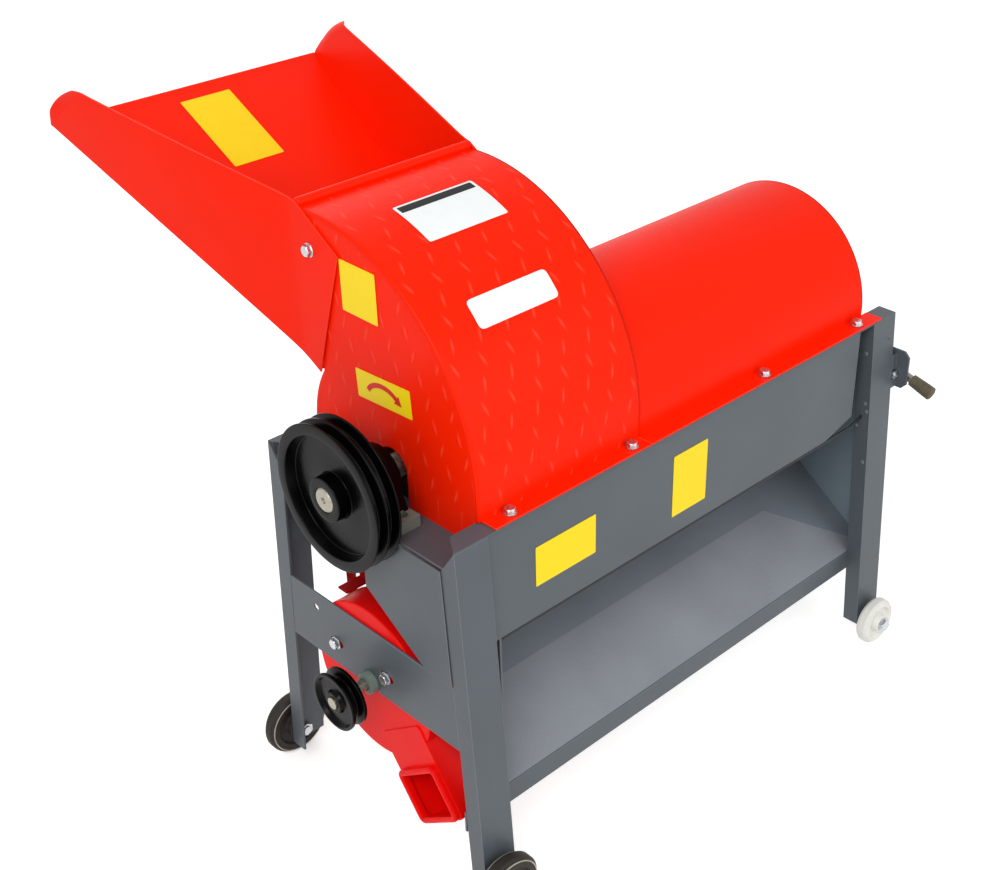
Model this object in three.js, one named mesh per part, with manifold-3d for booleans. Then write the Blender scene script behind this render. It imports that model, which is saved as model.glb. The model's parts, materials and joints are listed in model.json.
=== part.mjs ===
// Corn sheller on four small wheels: ears go in at a flared hopper, a toothed rotor rubs the
// kernels off against a bar concave, the grain slides out over a tray along the front, the bare
// cobs leave at the far end past a lever gate, and a small fan draws off the chaff.
// Millimetres, +Z up. X runs along the rotor shaft from the pulley end to the cob end, the grain
// leaves towards -Y and the hopper rises over +Y. Sizes are counted from the outer face of the
// near legs in X, from the shaft line in Y and from the frame's top face in Z, and the finished
// model is moved so that its origin is on the floor, under the middle of its outline.
import * as THREE from "three";
import { mergeVertices } from "three/addons/utils/BufferGeometryUtils.js";
import Module from "manifold-3d";

const wasm = await Module();
wasm.setup();

// Overall sizes
const frameLength = 820;
const frameWidth = 338;
const frameHeight = 532;
const shaftRise = 11;
const legSplayShare = 0.061;

// Stock thicknesses and fits
const plate = 3;
const sheet = 2;
const gap = 0.3;
const overrun = 2;
const mergeTolerance = 0.0001;

// Legs: a wide flange facing front or back and a narrow one across the end
const legFlange = 50;
const legSide = 25;
const legEndRise = 29;

// Side sheets: a flat rail flange on top, a panel, and a lip folded in along its lower edge
const railFlange = 28;
const railMitre = 19;
const panelDepth = 154;
const panelLip = 12;
const frontPanelEndGap = 77;
const panelCornerRun = 60;
const panelCornerRise = 17;

// End sheets: a bearing seat folded down into the end panel
const seatDrop = 34;
const nearPanelX = 70;
const farPanelInset = 9;
const farSeatDepth = 57;

// Grain tray and the rail under its front edge
const trayEdgeInset = 1.8;
const traySlopeShare = 0.69;
const lowerRailHeight = 31;
const lowerRailShelf = 22;

// Cross rail between the near legs, with the slots that let the fan slide to tighten its belt
const crossRailDrop = 194;
const crossRailHeight = 94;
const fanSlotLength = 26;
const fanSlotWidth = 11;
const fanBoltSpacing = 98;
const fanBoltMiddle = 19;
const fanBoltDrop = 253;
const fanBoltHead = 2.5;
const tieHoleRadius = 5;
const tieHoleY = 106;
const tieHoleDrop = 218;

// Housing over the rotor
const coverRadius = 144;
const coverEndInset = 49;
const coverFlangeInset = 33;
const housingStart = 57;
const housingEnd = 316;
const wrapRadius = 266;
const wrapCentreY = 119;
const wrapCentreZ = 25;
const ridgeY = 141;
const ridgeBead = 6;
const shaftSlot = 25;

// Hopper: the foot of its floor on the cover's circle, its top edge, rounded nose and flare
const hopperFootAngle = 34.235;
const hopperFootRise = 1.75;
const hopperOuterY = 545;
const hopperOuterZ = 308;
const hopperOuterHalf = 202;
const hopperNoseY = 523;
const hopperNoseZ = 345.5;
const hopperTopY = 473;
const hopperTopZ = 365;
const hopperTopLean = 9;
const hopperWallRise = 8;
const hopperFoldY = 152;
const hopperLapY = 68;
const hopperLapZ = 252.5;
const hopperBead = 3;
const hopperBoltY = 120;
const hopperBoltZ = 246;

// Concave of round bars on arched hoops
const concaveInner = 134;
const concaveOuter = 146;
const concaveBar = 4;
const concaveBarCount = 12;
const concaveHoopCount = 4;
const concaveHoopWidth = 6;
const concaveStripDrop = 13;
const concaveEndInset = 36;

// Cob trough, gate and lever
const troughReach = 10;
const gateMargin = 6;
const gatePivotOut = 5;
const gatePivotZ = -98;
const gateEyeRadius = 14;
const gateStopDepth = 6;
const bracketTop = 38;
const bracketCorner = 8;
const bracketHalf = 20;
const leverRadius = 6;
const leverReach = 43;
const leverDroopShare = 0.3;
const gripRadius = 10;
const gripLength = 35;
const pivotRadius = 5;

// Rotor
const shaftRadius = 15;
const shaftNearEnd = -44;
const shaftFarInset = 8;
const drumRadius = 60;
const drumWall = 3;
const drumStart = 76;
const drumEndRoom = 11;
const drumDiscHoles = 4;
const drumDiscHoleRadius = 9;
const beaterRadius = 100;
const beaterThickness = 10;
const beaterStartInset = 6;
const beaterEndInset = 30;
const beaterCount = 4;
const toothPitch = 40;
const toothDepth = 14;
const augerRadius = 104;
const augerStart = 84;
const augerEndInset = 4;
const augerTurns = 2;
const augerThickness = 5;
const paddleRadius = 96;
const paddleLength = 26;
const paddleThickness = 6;

// Pillow-block bearings of the rotor
const blockFootLength = 126;
const blockFootWidth = 28;
const blockFootHeight = 15;
const blockRadius = 38;
const blockShoulder = 20;
const blockWidth = 24;
const nearBlockX = 28;
const farBlockInset = 31;
const insertRadius = 24;
const insertWidth = 34;
const blockBoltSpacing = 98;
const blockBoltRadius = 6.5;

// Two-groove main pulley
const pulleyRadius = 91;
const pulleyWidth = 34;
const pulleyFace = -40;
const pulleyRim = 74;
const pulleyHub = 27;
const pulleyWeb = 7;
const pulleyHubOut = 3;
const grooveWidth = 13;
const grooveFloor = 6;
const grooveDepth = 11;
const grooveLand = 3.5;

// Chaff fan
const fanY = 4;
const fanZ = -278;
const fanRadius = 108;
const fanWidth = 44;
const fanInlet = 44;
const ductAngle = 0.6435;
const ductInner = -34;
const ductOuter = 54;
const ductEnd = 195;
const mouthStart = 122;
const mouthRim = 6;
const impellerRoom = 16;
const impellerWidth = 30;
const impellerInset = 4;
const impellerBlades = 6;
const impellerHub = 17;
const fanShaftRadius = 8;
const fanBearingRadius = 15;
const fanBearingNeck = 11;
const fanBearingLength = 13;
const fanPulleyRadius = 44;
const fanPulleyWidth = 22;
const fanPulleyFace = -58;
const fanPulleyRim = 33;
const hangerWidth = 18;
const hangerThickness = 3;
const hangerShares = [0.7685, 1.037];

// Wheels and their axle bolts
const nearWheelRadius = 47;
const farWheelRadius = 36;
const wheelWidth = 20;
const wheelHubProud = 5;
const wheelOffset = 3;
const wheelCrown = 4;
const wheelDishShare = 0.66;
const wheelHubShare = 0.36;
const nearAxleX = 17;
const farAxleInset = 30;
const axleRadius = 6;

// Bolts
const boltRadius = 4;
const boltHeadRadius = 7.5;
const boltHeadHeight = 5.5;
const washerRadius = 8.5;
const washerHeight = 1.6;
const nutHeight = 6.5;
const axleHeadRadius = 10;
const coverBoltInset = 13;
const housingBoltInset = 38;
const seamBoltInset = 22;
const middleBoltShare = 0.5033;
const endBoltInset = 26;

// Numbers of flat faces that round shapes are made with
const roundFaces = 32;
const smallFaces = 20;
const boltFaces = 8;
const barFaces = 6;

// Paints and bare materials
const paint = (color, roughness = 0.35, metalness = 0.1) =>
  new THREE.MeshStandardMaterial({ color, roughness, metalness });
const redPaint = paint(0xf02008);
const darkRedPaint = paint(0xa01812, 0.4);
const greyPaint = paint(0x5c656d);
const trayPaint = paint(0x747b81);
const blackPaint = paint(0x17181a, 0.3, 0.3);
const castPaint = paint(0x4d5a55, 0.5, 0.3);
const steel = paint(0x9a9a96, 0.35, 0.9);
const zinc = paint(0xc9ccce, 0.3, 0.95);
const darkTyre = paint(0x33302c, 0.7, 0);
const nylon = paint(0xecebe6, 0.5, 0);
const rubber = paint(0x3d3833, 0.9, 0);

// A closed geometry as a solid whose faces point out.
function solid(geometry) {
  const bare = geometry.clone();
  bare.deleteAttribute("normal");
  bare.deleteAttribute("uv");
  const merged = mergeVertices(bare, mergeTolerance);
  const corners = merged.attributes.position.array;
  const a = new THREE.Vector3();
  const b = new THREE.Vector3();
  const c = new THREE.Vector3();
  let faces = [];
  let volume = 0;
  for (let i = 0; i < merged.index.count; i += 3) {
    const [p, q, r] = merged.index.array.slice(i, i + 3);
    if (p === q || q === r || r === p) continue;
    faces.push([p, q, r]);
    a.fromArray(corners, 3 * p);
    b.fromArray(corners, 3 * q);
    c.fromArray(corners, 3 * r);
    volume += a.dot(b.cross(c));
  }
  if (volume < 0) faces = faces.map(([p, q, r]) => [p, r, q]);
  return new wasm.Manifold(new wasm.Mesh({
    numProp: 3,
    vertProperties: Float32Array.from(corners),
    triVerts: Uint32Array.from(faces.flat()),
  }));
}

// A hole of a few flat faces that a bolt of this radius passes with its gap.
const holeFor = (radius) => (radius + gap) / Math.cos(Math.PI / boltFaces);

const join = (...solids) => solids.reduce((whole, next) => whole.add(next));
const cutFrom = (body, ...tools) => tools.reduce((whole, tool) => whole.subtract(tool), body);

// A solid as a named mesh of the assembly.
function piece(name, body, material) {
  const mesh = body.getMesh();
  const geometry = new THREE.BufferGeometry();
  geometry.setAttribute("position", new THREE.Float32BufferAttribute(mesh.vertProperties, 3));
  geometry.setIndex(Array.from(mesh.triVerts));
  geometry.computeVertexNormals();
  const part = new THREE.Mesh(geometry, material);
  part.name = name;
  return part;
}

function extrude(points, depth) {
  const outline = new THREE.Shape(points.map(([u, v]) => new THREE.Vector2(u, v)));
  return new THREE.ExtrudeGeometry(outline, { depth, bevelEnabled: false });
}

const basis = (u, v, w) => new THREE.Matrix4().makeBasis(
  new THREE.Vector3(...u), new THREE.Vector3(...v), new THREE.Vector3(...w));
const outlineInYZ = basis([0, 1, 0], [0, 0, 1], [1, 0, 0]);
const outlineInXZ = basis([1, 0, 0], [0, 0, 1], [0, -1, 0]);

// Prisms with their outline across X, Y or Z, from one plane to another.
const prismX = (points, x0, x1) =>
  solid(extrude(points, x1 - x0).applyMatrix4(outlineInYZ).translate(x0, 0, 0));
const prismY = (points, y0, y1) =>
  solid(extrude(points, y1 - y0).applyMatrix4(outlineInXZ).translate(0, y1, 0));
const prismZ = (points, z0, z1) => solid(extrude(points, z1 - z0).translate(0, 0, z0));

function block([x0, x1], [y0, y1], [z0, z1]) {
  const box = new THREE.BoxGeometry(x1 - x0, y1 - y0, z1 - z0);
  return solid(box.translate((x0 + x1) / 2, (y0 + y1) / 2, (z0 + z1) / 2));
}

// Round bars along each axis.
const bar = (radius, length, faces) => new THREE.CylinderGeometry(radius, radius, length, faces);
const barX = (radius, [x0, x1], y, z, faces = roundFaces) =>
  solid(bar(radius, x1 - x0, faces).rotateZ(Math.PI / 2).translate((x0 + x1) / 2, y, z));
const barY = (radius, x, [y0, y1], z, faces = roundFaces) =>
  solid(bar(radius, y1 - y0, faces).translate(x, (y0 + y1) / 2, z));
const barZ = (radius, x, y, [z0, z1], faces = roundFaces) =>
  solid(bar(radius, z1 - z0, faces).rotateX(Math.PI / 2).translate(x, y, (z0 + z1) / 2));

// Cutters for the holes that a bolt passes, through material between two planes.
const boltHoleX = (radius, [x0, x1], y, z) =>
  barX(holeFor(radius), [x0 - overrun, x1 + overrun], y, z, boltFaces);
const boltHoleZ = (radius, x, y, [z0, z1]) =>
  barZ(holeFor(radius), x, y, [z0 - overrun, z1 + overrun], boltFaces);

// A body of revolution about X, from a closed profile of [radius, x] points.
function turned(profile, faces = roundFaces) {
  const points = [...profile, profile[0]].map(([radius, x]) => new THREE.Vector2(radius, x));
  return solid(new THREE.LatheGeometry(points, faces).rotateZ(-Math.PI / 2));
}

function arc(cy, cz, radius, from, to, steps) {
  return Array.from({ length: steps + 1 }, (_, i) => {
    const angle = THREE.MathUtils.degToRad(from + (to - from) * i / steps);
    return [cy + radius * Math.cos(angle), cz + radius * Math.sin(angle)];
  });
}

// The closed outline of a bent sheet: a path and its mitred offset to the left.
function ribbon(path, thickness) {
  const way = path.slice(1).map(([u, v], i) =>
    new THREE.Vector2(u - path[i][0], v - path[i][1]).normalize());
  const normals = way.map((d) => new THREE.Vector2(-d.y, d.x));
  const offset = path.map(([u, v], i) => {
    const before = normals[Math.max(i - 1, 0)];
    const after = normals[Math.min(i, normals.length - 1)];
    const mitre = before.clone().add(after).multiplyScalar(thickness / (1 + before.dot(after)));
    return [u + mitre.x, v + mitre.y];
  });
  return [...path, ...offset.reverse()];
}

// Lines that several pieces follow.
const halfWidth = frameWidth / 2;
const legFoot = legEndRise - frameHeight;
const legLean = (z) => -legSplayShare * z;
const panelOuter = halfWidth - plate - gap;
const panelInner = panelOuter - sheet;
const trayDrop = panelDepth + gap + traySlopeShare * (panelInner - trayEdgeInset);
const trayTop = (y) => traySlopeShare * y - trayDrop;
const sheetDrop = sheet * Math.hypot(1, traySlopeShare);
const trayFront = -(halfWidth + legLean(trayTop(-halfWidth)) - legSide - gap);
const trayRear = halfWidth + legLean(-panelDepth) - legSide - gap;
const farPanelX = frameLength - farPanelInset;
const farLegX = frameLength - legFlange;
const farAxleX = frameLength - farAxleInset;
const farBlockX = frameLength - farBlockInset;
const coverEnd = frameLength - coverEndInset;
const coverFlangeEnd = frameLength - coverFlangeInset;
const drumEnd = coverEnd - sheet - drumEndRoom;
const concaveEnd = coverEnd - concaveEndInset;
const impellerRadius = fanRadius - sheet - impellerRoom;
const coverBoltXs = [housingStart + housingBoltInset, housingEnd - seamBoltInset,
  housingEnd + middleBoltShare * (coverEnd - housingEnd), coverEnd - endBoltInset];
const crossRail ={ top: -crossRailDrop, bottom: -crossRailDrop - crossRailHeight };

// A leg: a bent angle that leans outwards, with its narrow flange cut away under the seat.
function leg(name, x, side, trimmed) {
  const outer = side * halfWidth;
  const inward = -side;
  const span = (width) => [outer, outer + inward * width].sort((a, b) => a - b);
  const heights = [legFoot, -sheet - gap];
  let body = join(
    block([x, x + legFlange], span(plate), heights),
    block([x, x + plate], span(legSide), heights));
  if (trimmed) {
    const corner = [[outer, 0], [outer + inward * (legSide + overrun), 0],
      [outer + inward * (legSide + overrun), -seatDrop - overrun], [outer + inward * legSide, -seatDrop]];
    body = cutFrom(body, prismX(corner, x - overrun, x + plate + overrun));
  }
  const axle = wheelAxle(x, side);
  const lean = new THREE.Matrix4().set(1, 0, 0, 0, 0, 1, -side * legSplayShare, 0, 0, 0, 1, 0, 0, 0, 0, 1);
  const leaning = piece(name, body, greyPaint);
  leaning.geometry.applyMatrix4(lean);
  const bored = cutFrom(
    solid(leaning.geometry),
    barY(axleRadius + gap, axle.x, [axle.y - legFlange, axle.y + legFlange], axle.z, smallFaces));
  return piece(name, bored, greyPaint);
}

// Where a leg's wheel turns: its axle's height, and the leg's outer face there.
function wheelAxle(legX, side) {
  const near = legX < frameLength / 2;
  const radius = near ? nearWheelRadius : farWheelRadius;
  const z = radius - frameHeight;
  return { x: near ? nearAxleX : farAxleX, y: side * (halfWidth + legLean(z)), z, radius };
}

// A side sheet, drawn for the front and mirrored for the back.
function sideSheet(name, side, panelEnd, cornerRun, cornerRise) {
  const flip = (a, b) => (side < 0 ? [-b, -a] : [a, b]);
  const panelStart = nearPanelX - plate - gap;
  const mitred = [[0, halfWidth], [railMitre, halfWidth - railFlange],
    [frameLength, halfWidth - railFlange], [frameLength, halfWidth]];
  const flange = side < 0 ? mitred.map(([x, y]) => [x, -y]) : mitred;
  const panel = [[plate + gap, -sheet / 2], [panelEnd, -sheet / 2], [panelEnd, cornerRise - panelDepth],
    [panelEnd - cornerRun, -panelDepth], [plate + gap, -panelDepth]];
  const body = join(
    prismZ(flange, -sheet, 0),
    prismY(panel, ...flip(panelInner, panelOuter)),
    block([nearPanelX + gap, panelEnd - cornerRun], flip(panelInner - panelLip, panelInner + sheet / 2),
      [-panelDepth, sheet - panelDepth]));
  const holes = coverBoltXs.map((x) =>
    boltHoleZ(boltRadius, x, side * (halfWidth - coverBoltInset), [-sheet, 0]));
  return piece(name, cutFrom(body, ...holes), greyPaint);
}

// The near end sheet: a bearing seat that folds down into a panel ending at the tray.
function nearEndSheet() {
  const seatHalf = halfWidth + legLean(-seatDrop) - legSide - gap;
  const side = panelInner - gap;
  const below = (y) => trayTop(y) - sheetDrop;
  const panel = [[-side, -seatDrop], [side, -seatDrop], [side, below(side)], [-side, below(-side)]];
  const body = join(
    block([0, nearPanelX], [-seatHalf, seatHalf], [-seatDrop - plate, -seatDrop]),
    prismX(panel, nearPanelX - plate, nearPanelX));
  const roof = [[-side, trayTop(-side)], [side, trayTop(side)], [side, 0], [-side, 0]];
  const port = barX(fanInlet, [nearPanelX - plate - overrun, nearPanelX + overrun], fanY, fanZ)
    .intersect(prismX(roof, 0, frameLength));
  return piece("near_end_sheet", cutFrom(body, port, ...blockBoltHoles(nearBlockX)), greyPaint);
}

// The far end sheet: the same fold, spread to the leaning legs and open where the cobs leave.
function farEndSheet() {
  const seatStart = frameLength - farSeatDepth;
  const seatHalf = halfWidth + legLean(-seatDrop) - legSide - gap;
  const edge = (z) => halfWidth - plate - gap + legLean(z);
  const foot = trayTop(-edge(-panelDepth)) - sheetDrop;
  const rearFoot = trayTop(trayRear) - sheetDrop;
  const panel = [[-edge(-seatDrop), -seatDrop], [edge(-seatDrop), -seatDrop], [edge(rearFoot), rearFoot],
    [trayRear, rearFoot], [-edge(foot), foot]];
  const window = prismX(troughOutline(concaveOuter + gap), farPanelX - plate - overrun, farPanelX + overrun);
  const body = join(
    block([seatStart, farPanelX], [-seatHalf, seatHalf], [-seatDrop - plate, -seatDrop]),
    prismX(panel, farPanelX - plate, farPanelX));
  return piece("far_end_sheet", cutFrom(body, window, ...blockBoltHoles(farBlockX)), greyPaint);
}

function blockBoltHoles(x) {
  return [-1, 1].map((side) => barZ(blockBoltRadius, x, side * blockBoltSpacing / 2,
    [-seatDrop - plate - overrun, overrun - seatDrop], boltFaces));
}

// The segment of a circle about the shaft that lies under the bearing seat.
function troughOutline(radius) {
  const top = -seatDrop - plate - gap;
  const angle = THREE.MathUtils.radToDeg(Math.asin((shaftRise - top) / radius));
  return arc(0, shaftRise, radius, 180 + angle, 360 - angle, roundFaces / 2);
}

// The lower cross rail, cut out round the fan bearing and slotted for the fan's two bolts.
function nearCrossRail() {
  const edge = (z) => halfWidth + legLean(z) - legSide - gap;
  const { top, bottom } = crossRail;
  const outline = [[-edge(top), top], [edge(top), top], [edge(bottom), bottom], [-edge(bottom), bottom]];
  const through = [-overrun, plate + overrun];
  const slots = [-1, 1].map((side) => {
    const middle = fanBoltMiddle + side * fanBoltSpacing / 2;
    const half = fanSlotWidth / 2;
    const reach = fanSlotLength / 2 - half;
    return join(
      block(through, [middle - reach, middle + reach], [-fanBoltDrop - half, half - fanBoltDrop]),
      barX(half, through, middle - reach, -fanBoltDrop, boltFaces),
      barX(half, through, middle + reach, -fanBoltDrop, boltFaces));
  });
  const notchHalf = fanBearingRadius + gap;
  const notch = join(
    barX(notchHalf, through, fanY, fanZ, smallFaces),
    block(through, [fanY - notchHalf, fanY + notchHalf], [bottom - overrun, fanZ]));
  const tieHole = barX(tieHoleRadius, through, tieHoleY, -tieHoleDrop, boltFaces);
  return piece("near_cross_rail", cutFrom(prismX(outline, 0, plate), notch, tieHole, ...slots), greyPaint);
}

// The sloping tray: it runs up under the rear sheet's lip, and its corner clears the far rear leg.
function grainTray() {
  const start = nearPanelX + gap;
  const end = farPanelX - plate - gap;
  const underLip = (trayDrop - panelDepth - gap) / traySlopeShare;
  const strip = (from, to) => [[from, trayTop(from) - sheetDrop], [to, trayTop(to) - sheetDrop],
    [to, trayTop(to)], [from, trayTop(from)]];
  const body = join(
    prismX(strip(trayFront, trayRear), start, end),
    prismX(strip(trayFront, underLip), start, farLegX - gap));
  return piece("grain_tray", body, trayPaint);
}

function lowerFrontRail() {
  const top = trayTop(trayFront) - sheetDrop - gap;
  const inner = trayFront + plate;
  const shelfEnd = trayFront + lowerRailShelf;
  const rise = (y) => top + traySlopeShare * (y - trayFront);
  const shelf = [[trayFront, top], [trayFront, top - plate],
    [shelfEnd, rise(shelfEnd) - plate], [shelfEnd, rise(shelfEnd)]];
  const body = join(
    block([0, farPanelX - plate - gap], [trayFront, inner], [top - lowerRailHeight, top]),
    prismX(shelf, nearPanelX + gap, farPanelX - plate - gap));
  return piece("lower_front_rail", body, greyPaint);
}

// Profiles of the red housing, in Y and Z.
const flangeTop = gap + sheet;
const wrapTopAngle = THREE.MathUtils.radToDeg(Math.acos((ridgeY - wrapCentreY) / wrapRadius));
const wrapFrontY = wrapCentreY - wrapRadius;
const wrapPath = [[wrapFrontY, gap],
  ...arc(wrapCentreY, wrapCentreZ, wrapRadius, 180, wrapTopAngle, roundFaces / 2)];
const ridgeZ = wrapPath.at(-1)[1];
const hopperFoot = arc(0, shaftRise, coverRadius + hopperFootRise, 0, hopperFootAngle, 1);
const [hopperInnerY, hopperInnerZ] = hopperFoot.at(-1);
const coverFootAngle = THREE.MathUtils.radToDeg(Math.asin((shaftRise - gap) / coverRadius));
const rearWall = arc(0, shaftRise, coverRadius, -coverFootAngle, hopperFootAngle, smallFaces / 4);

function coverFlange(side, x0, x1) {
  const edges = [side * halfWidth, side * (coverRadius - sheet)].sort((a, b) => a - b);
  const inHousing = side < 0 && x0 < housingEnd;
  if (inHousing) edges[1] = wrapFrontY + sheet;
  const holes = coverBoltXs.filter((x) => x > x0 && x < x1).map((x) =>
    boltHoleZ(boltRadius, x, side * (halfWidth - coverBoltInset), [0, flangeTop]));
  return cutFrom(block([x0, x1], edges, [gap, flangeTop]), ...holes);
}

// The lower part of an end plate, which stands on the bearing seat between the rails.
function endSkirt(span) {
  const half = halfWidth - railFlange - gap;
  return block(span, [-half, half], [gap - seatDrop, flangeTop]);
}

// The open slot with which an end plate drops over the shaft.
function shaftCut([x0, x1]) {
  const through = [x0 - overrun, x1 + overrun];
  return join(
    barX(shaftSlot, through, 0, shaftRise, smallFaces),
    block(through, [-shaftSlot, shaftSlot], [gap - seatDrop - overrun, shaftRise]));
}

// The feed housing: near end plate, wrap over the rotor, far end ring, rear wall and flanges.
function feedHousing() {
  const x0 = housingStart;
  const x1 = housingEnd;
  const rear = [...rearWall, [ridgeY, ridgeZ]];
  const shell = [...wrapPath, ...[...rear].reverse()];
  const plateSpan = [x0, x0 + sheet];
  const nearPlate = cutFrom(join(prismX(shell, ...plateSpan), endSkirt(plateSpan)), shaftCut(plateSpan));
  const farRing = cutFrom(
    prismX(shell, x1 - sheet, x1),
    barX(coverRadius - sheet, [x1 - sheet - overrun, x1 + overrun], 0, shaftRise));
  const wrap = prismX(ribbon([...wrapPath].reverse(), sheet), x0, x1);
  const back = prismX(ribbon(rearWall, sheet), x0, x1);
  const ridge = barX(ridgeBead, [x0, x1], ridgeY + sheet, ridgeZ + ridgeBead - sheet, boltFaces);
  const holes = [x0, x1 - sheet].map((x) =>
    boltHoleX(boltRadius, [x, x + sheet], hopperBoltY, hopperBoltZ));
  const flangeStart = x0 + plate + sheet;
  const body = join(nearPlate, farRing, wrap, back, ridge,
    coverFlange(-1, flangeStart, x1), coverFlange(1, flangeStart, x1));
  return piece("feed_housing", cutFrom(body, ...holes), redPaint);
}

// The drum cover: a half-round sheet with side flanges and a plate across its far end.
function drumCover() {
  const x0 = housingEnd + gap;
  const path = arc(0, shaftRise, coverRadius, -coverFootAngle, 180 + coverFootAngle, roundFaces);
  const plateSpan = [coverEnd - sheet, coverEnd];
  const endPlate = cutFrom(join(prismX(path, ...plateSpan), endSkirt(plateSpan)), shaftCut(plateSpan));
  const body = join(prismX(ribbon(path, sheet), x0, coverEnd), endPlate,
    coverFlange(-1, x0, coverFlangeEnd), coverFlange(1, x0, coverFlangeEnd));
  return piece("drum_cover", body, redPaint);
}

// The hopper: a sloping floor and two side walls that lap over the housing, then flare.
function hopper() {
  const middle = (housingStart + housingEnd) / 2;
  const innerHalf = (housingEnd - housingStart) / 2 + gap;
  const slope = (hopperOuterZ - hopperInnerZ) / (hopperOuterY - hopperInnerY);
  const floorZ = (y) => hopperInnerZ + slope * (y - hopperInnerY);
  const floorDrop = sheet * Math.hypot(1, slope);
  const ridgeTop = ridgeZ + hopperWallRise;
  const topSlope = (hopperTopZ - ridgeTop) / (hopperTopY - ridgeY);
  const topZ = (y) => ridgeTop + topSlope * (y - ridgeY);
  const flare = (hopperOuterHalf - innerHalf) / (hopperOuterY - hopperFoldY);
  const halfAt = (y) => innerHalf + flare * Math.max(y - hopperFoldY, 0);
  const start = hopperInnerY + sheet;

  const plan = [[-halfAt(start), start], [-halfAt(hopperFoldY), hopperFoldY],
    [-hopperOuterHalf, hopperOuterY], [hopperOuterHalf, hopperOuterY],
    [halfAt(hopperFoldY), hopperFoldY], [halfAt(start), start]].map(([x, y]) => [middle + x, y]);
  const slab = [[start, floorZ(start) - floorDrop], [hopperOuterY, floorZ(hopperOuterY) - floorDrop],
    [hopperOuterY, floorZ(hopperOuterY)], [start, floorZ(start)]];
  const floor = prismZ(plan, 0, hopperTopZ + overrun).intersect(
    prismX(slab, middle - hopperOuterHalf, middle + hopperOuterHalf));

  // A wall's end rounds over from its top edge to the floor, and its top leans out more and more.
  const nose = new THREE.QuadraticBezierCurve(
    new THREE.Vector2(hopperOuterY, hopperOuterZ),
    new THREE.Vector2(hopperNoseY, hopperNoseZ),
    new THREE.Vector2(hopperTopY, hopperTopZ)).getPoints(boltFaces);
  const wallOutline = [[hopperFoldY, floorZ(hopperFoldY) - floorDrop],
    [hopperOuterY, hopperOuterZ - floorDrop], ...nose.map(({ x, y }) => [x, y]),
    [hopperFoldY, topZ(hopperFoldY)]];
  const topHeight = hopperTopZ - floorZ(hopperTopY);
  const leanOut = (y, z) => hopperTopLean * (y - hopperFoldY) / (hopperTopY - hopperFoldY)
    * Math.max(z - floorZ(y), 0) / topHeight;
  const lap = [[hopperLapY, hopperLapZ], [hopperInnerY, hopperInnerZ - floorDrop],
    [hopperFoldY, floorZ(hopperFoldY) - floorDrop], [hopperFoldY, topZ(hopperFoldY)], [ridgeY, ridgeTop]];
  const turn = Math.atan(flare);
  const wall = (side) => {
    const inner = middle + side * innerHalf;
    const span = side < 0 ? [inner - sheet, inner] : [inner, inner + sheet];
    const stretch = 1 / Math.cos(turn);
    const leaf = extrude(wallOutline.map(([y, z]) => [(y - hopperFoldY) * stretch, z]), sheet)
      .applyMatrix4(outlineInYZ)
      .translate(side < 0 ? -sheet : 0, 0, 0)
      .rotateZ(-side * turn)
      .translate(inner, hopperFoldY, 0);
    const corners = leaf.attributes.position;
    for (let i = 0; i < corners.count; i += 1) {
      corners.setX(i, corners.getX(i) + side * leanOut(corners.getY(i), corners.getZ(i)));
    }
    const lapped = prismX(lap, ...span);
    const hole = boltHoleX(boltRadius, span, hopperBoltY, hopperBoltZ);
    return cutFrom(join(solid(leaf), lapped), hole);
  };
  const bead = barX(hopperBead, [middle - hopperOuterHalf, middle + hopperOuterHalf],
    hopperOuterY, hopperOuterZ - hopperBead, boltFaces);
  return piece("hopper", join(floor, wall(-1), wall(1), bead), redPaint);
}

// The concave: arched hoops, round bars through them, and a strip along each side.
function concave() {
  const x0 = nearPanelX + gap;
  const x1 = concaveEnd;
  const strip = -concaveStripDrop;
  const low = THREE.MathUtils.radToDeg(Math.asin((shaftRise - strip) / concaveOuter));
  const ring = [...arc(0, shaftRise, concaveOuter, 180 + low, 360 - low, roundFaces / 2),
    ...arc(0, shaftRise, concaveInner, 360 - low, 180 + low, roundFaces / 2)];
  const hoops = Array.from({ length: concaveHoopCount }, (_, i) => {
    const x = x0 + (x1 - x0 - concaveHoopWidth) * i / (concaveHoopCount - 1);
    return prismX(ring, x, x + concaveHoopWidth);
  });
  const reach = (concaveInner + concaveOuter) / 2;
  const halfStep = (90 - low) / concaveBarCount;
  const places = arc(0, shaftRise, reach, 180 + low + halfStep, 360 - low - halfStep, concaveBarCount - 1);
  const bars = places.map(([y, z]) => barX(concaveBar, [x0, x1], y, z, barFaces));
  const stripInner = concaveInner * Math.cos(THREE.MathUtils.degToRad(low));
  const strips = [-1, 1].map((side) => block([x0, x1],
    [side * stripInner, side * (panelInner - gap)].sort((a, b) => a - b), [strip - plate, strip]));
  return piece("concave", join(...hoops, ...bars, ...strips), steel);
}

// The cob trough, rolled to the concave's radius, out through the far end panel.
const troughEnd = frameLength + troughReach;
const gatePivotY = -(halfWidth + gatePivotOut);
function cobTrough() {
  const outer = troughOutline(concaveOuter);
  const inner = troughOutline(concaveOuter - sheet);
  const section = [...outer, ...[...inner].reverse()];
  return piece("cob_trough", prismX(section, concaveEnd + gap, troughEnd), greyPaint);
}

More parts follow.
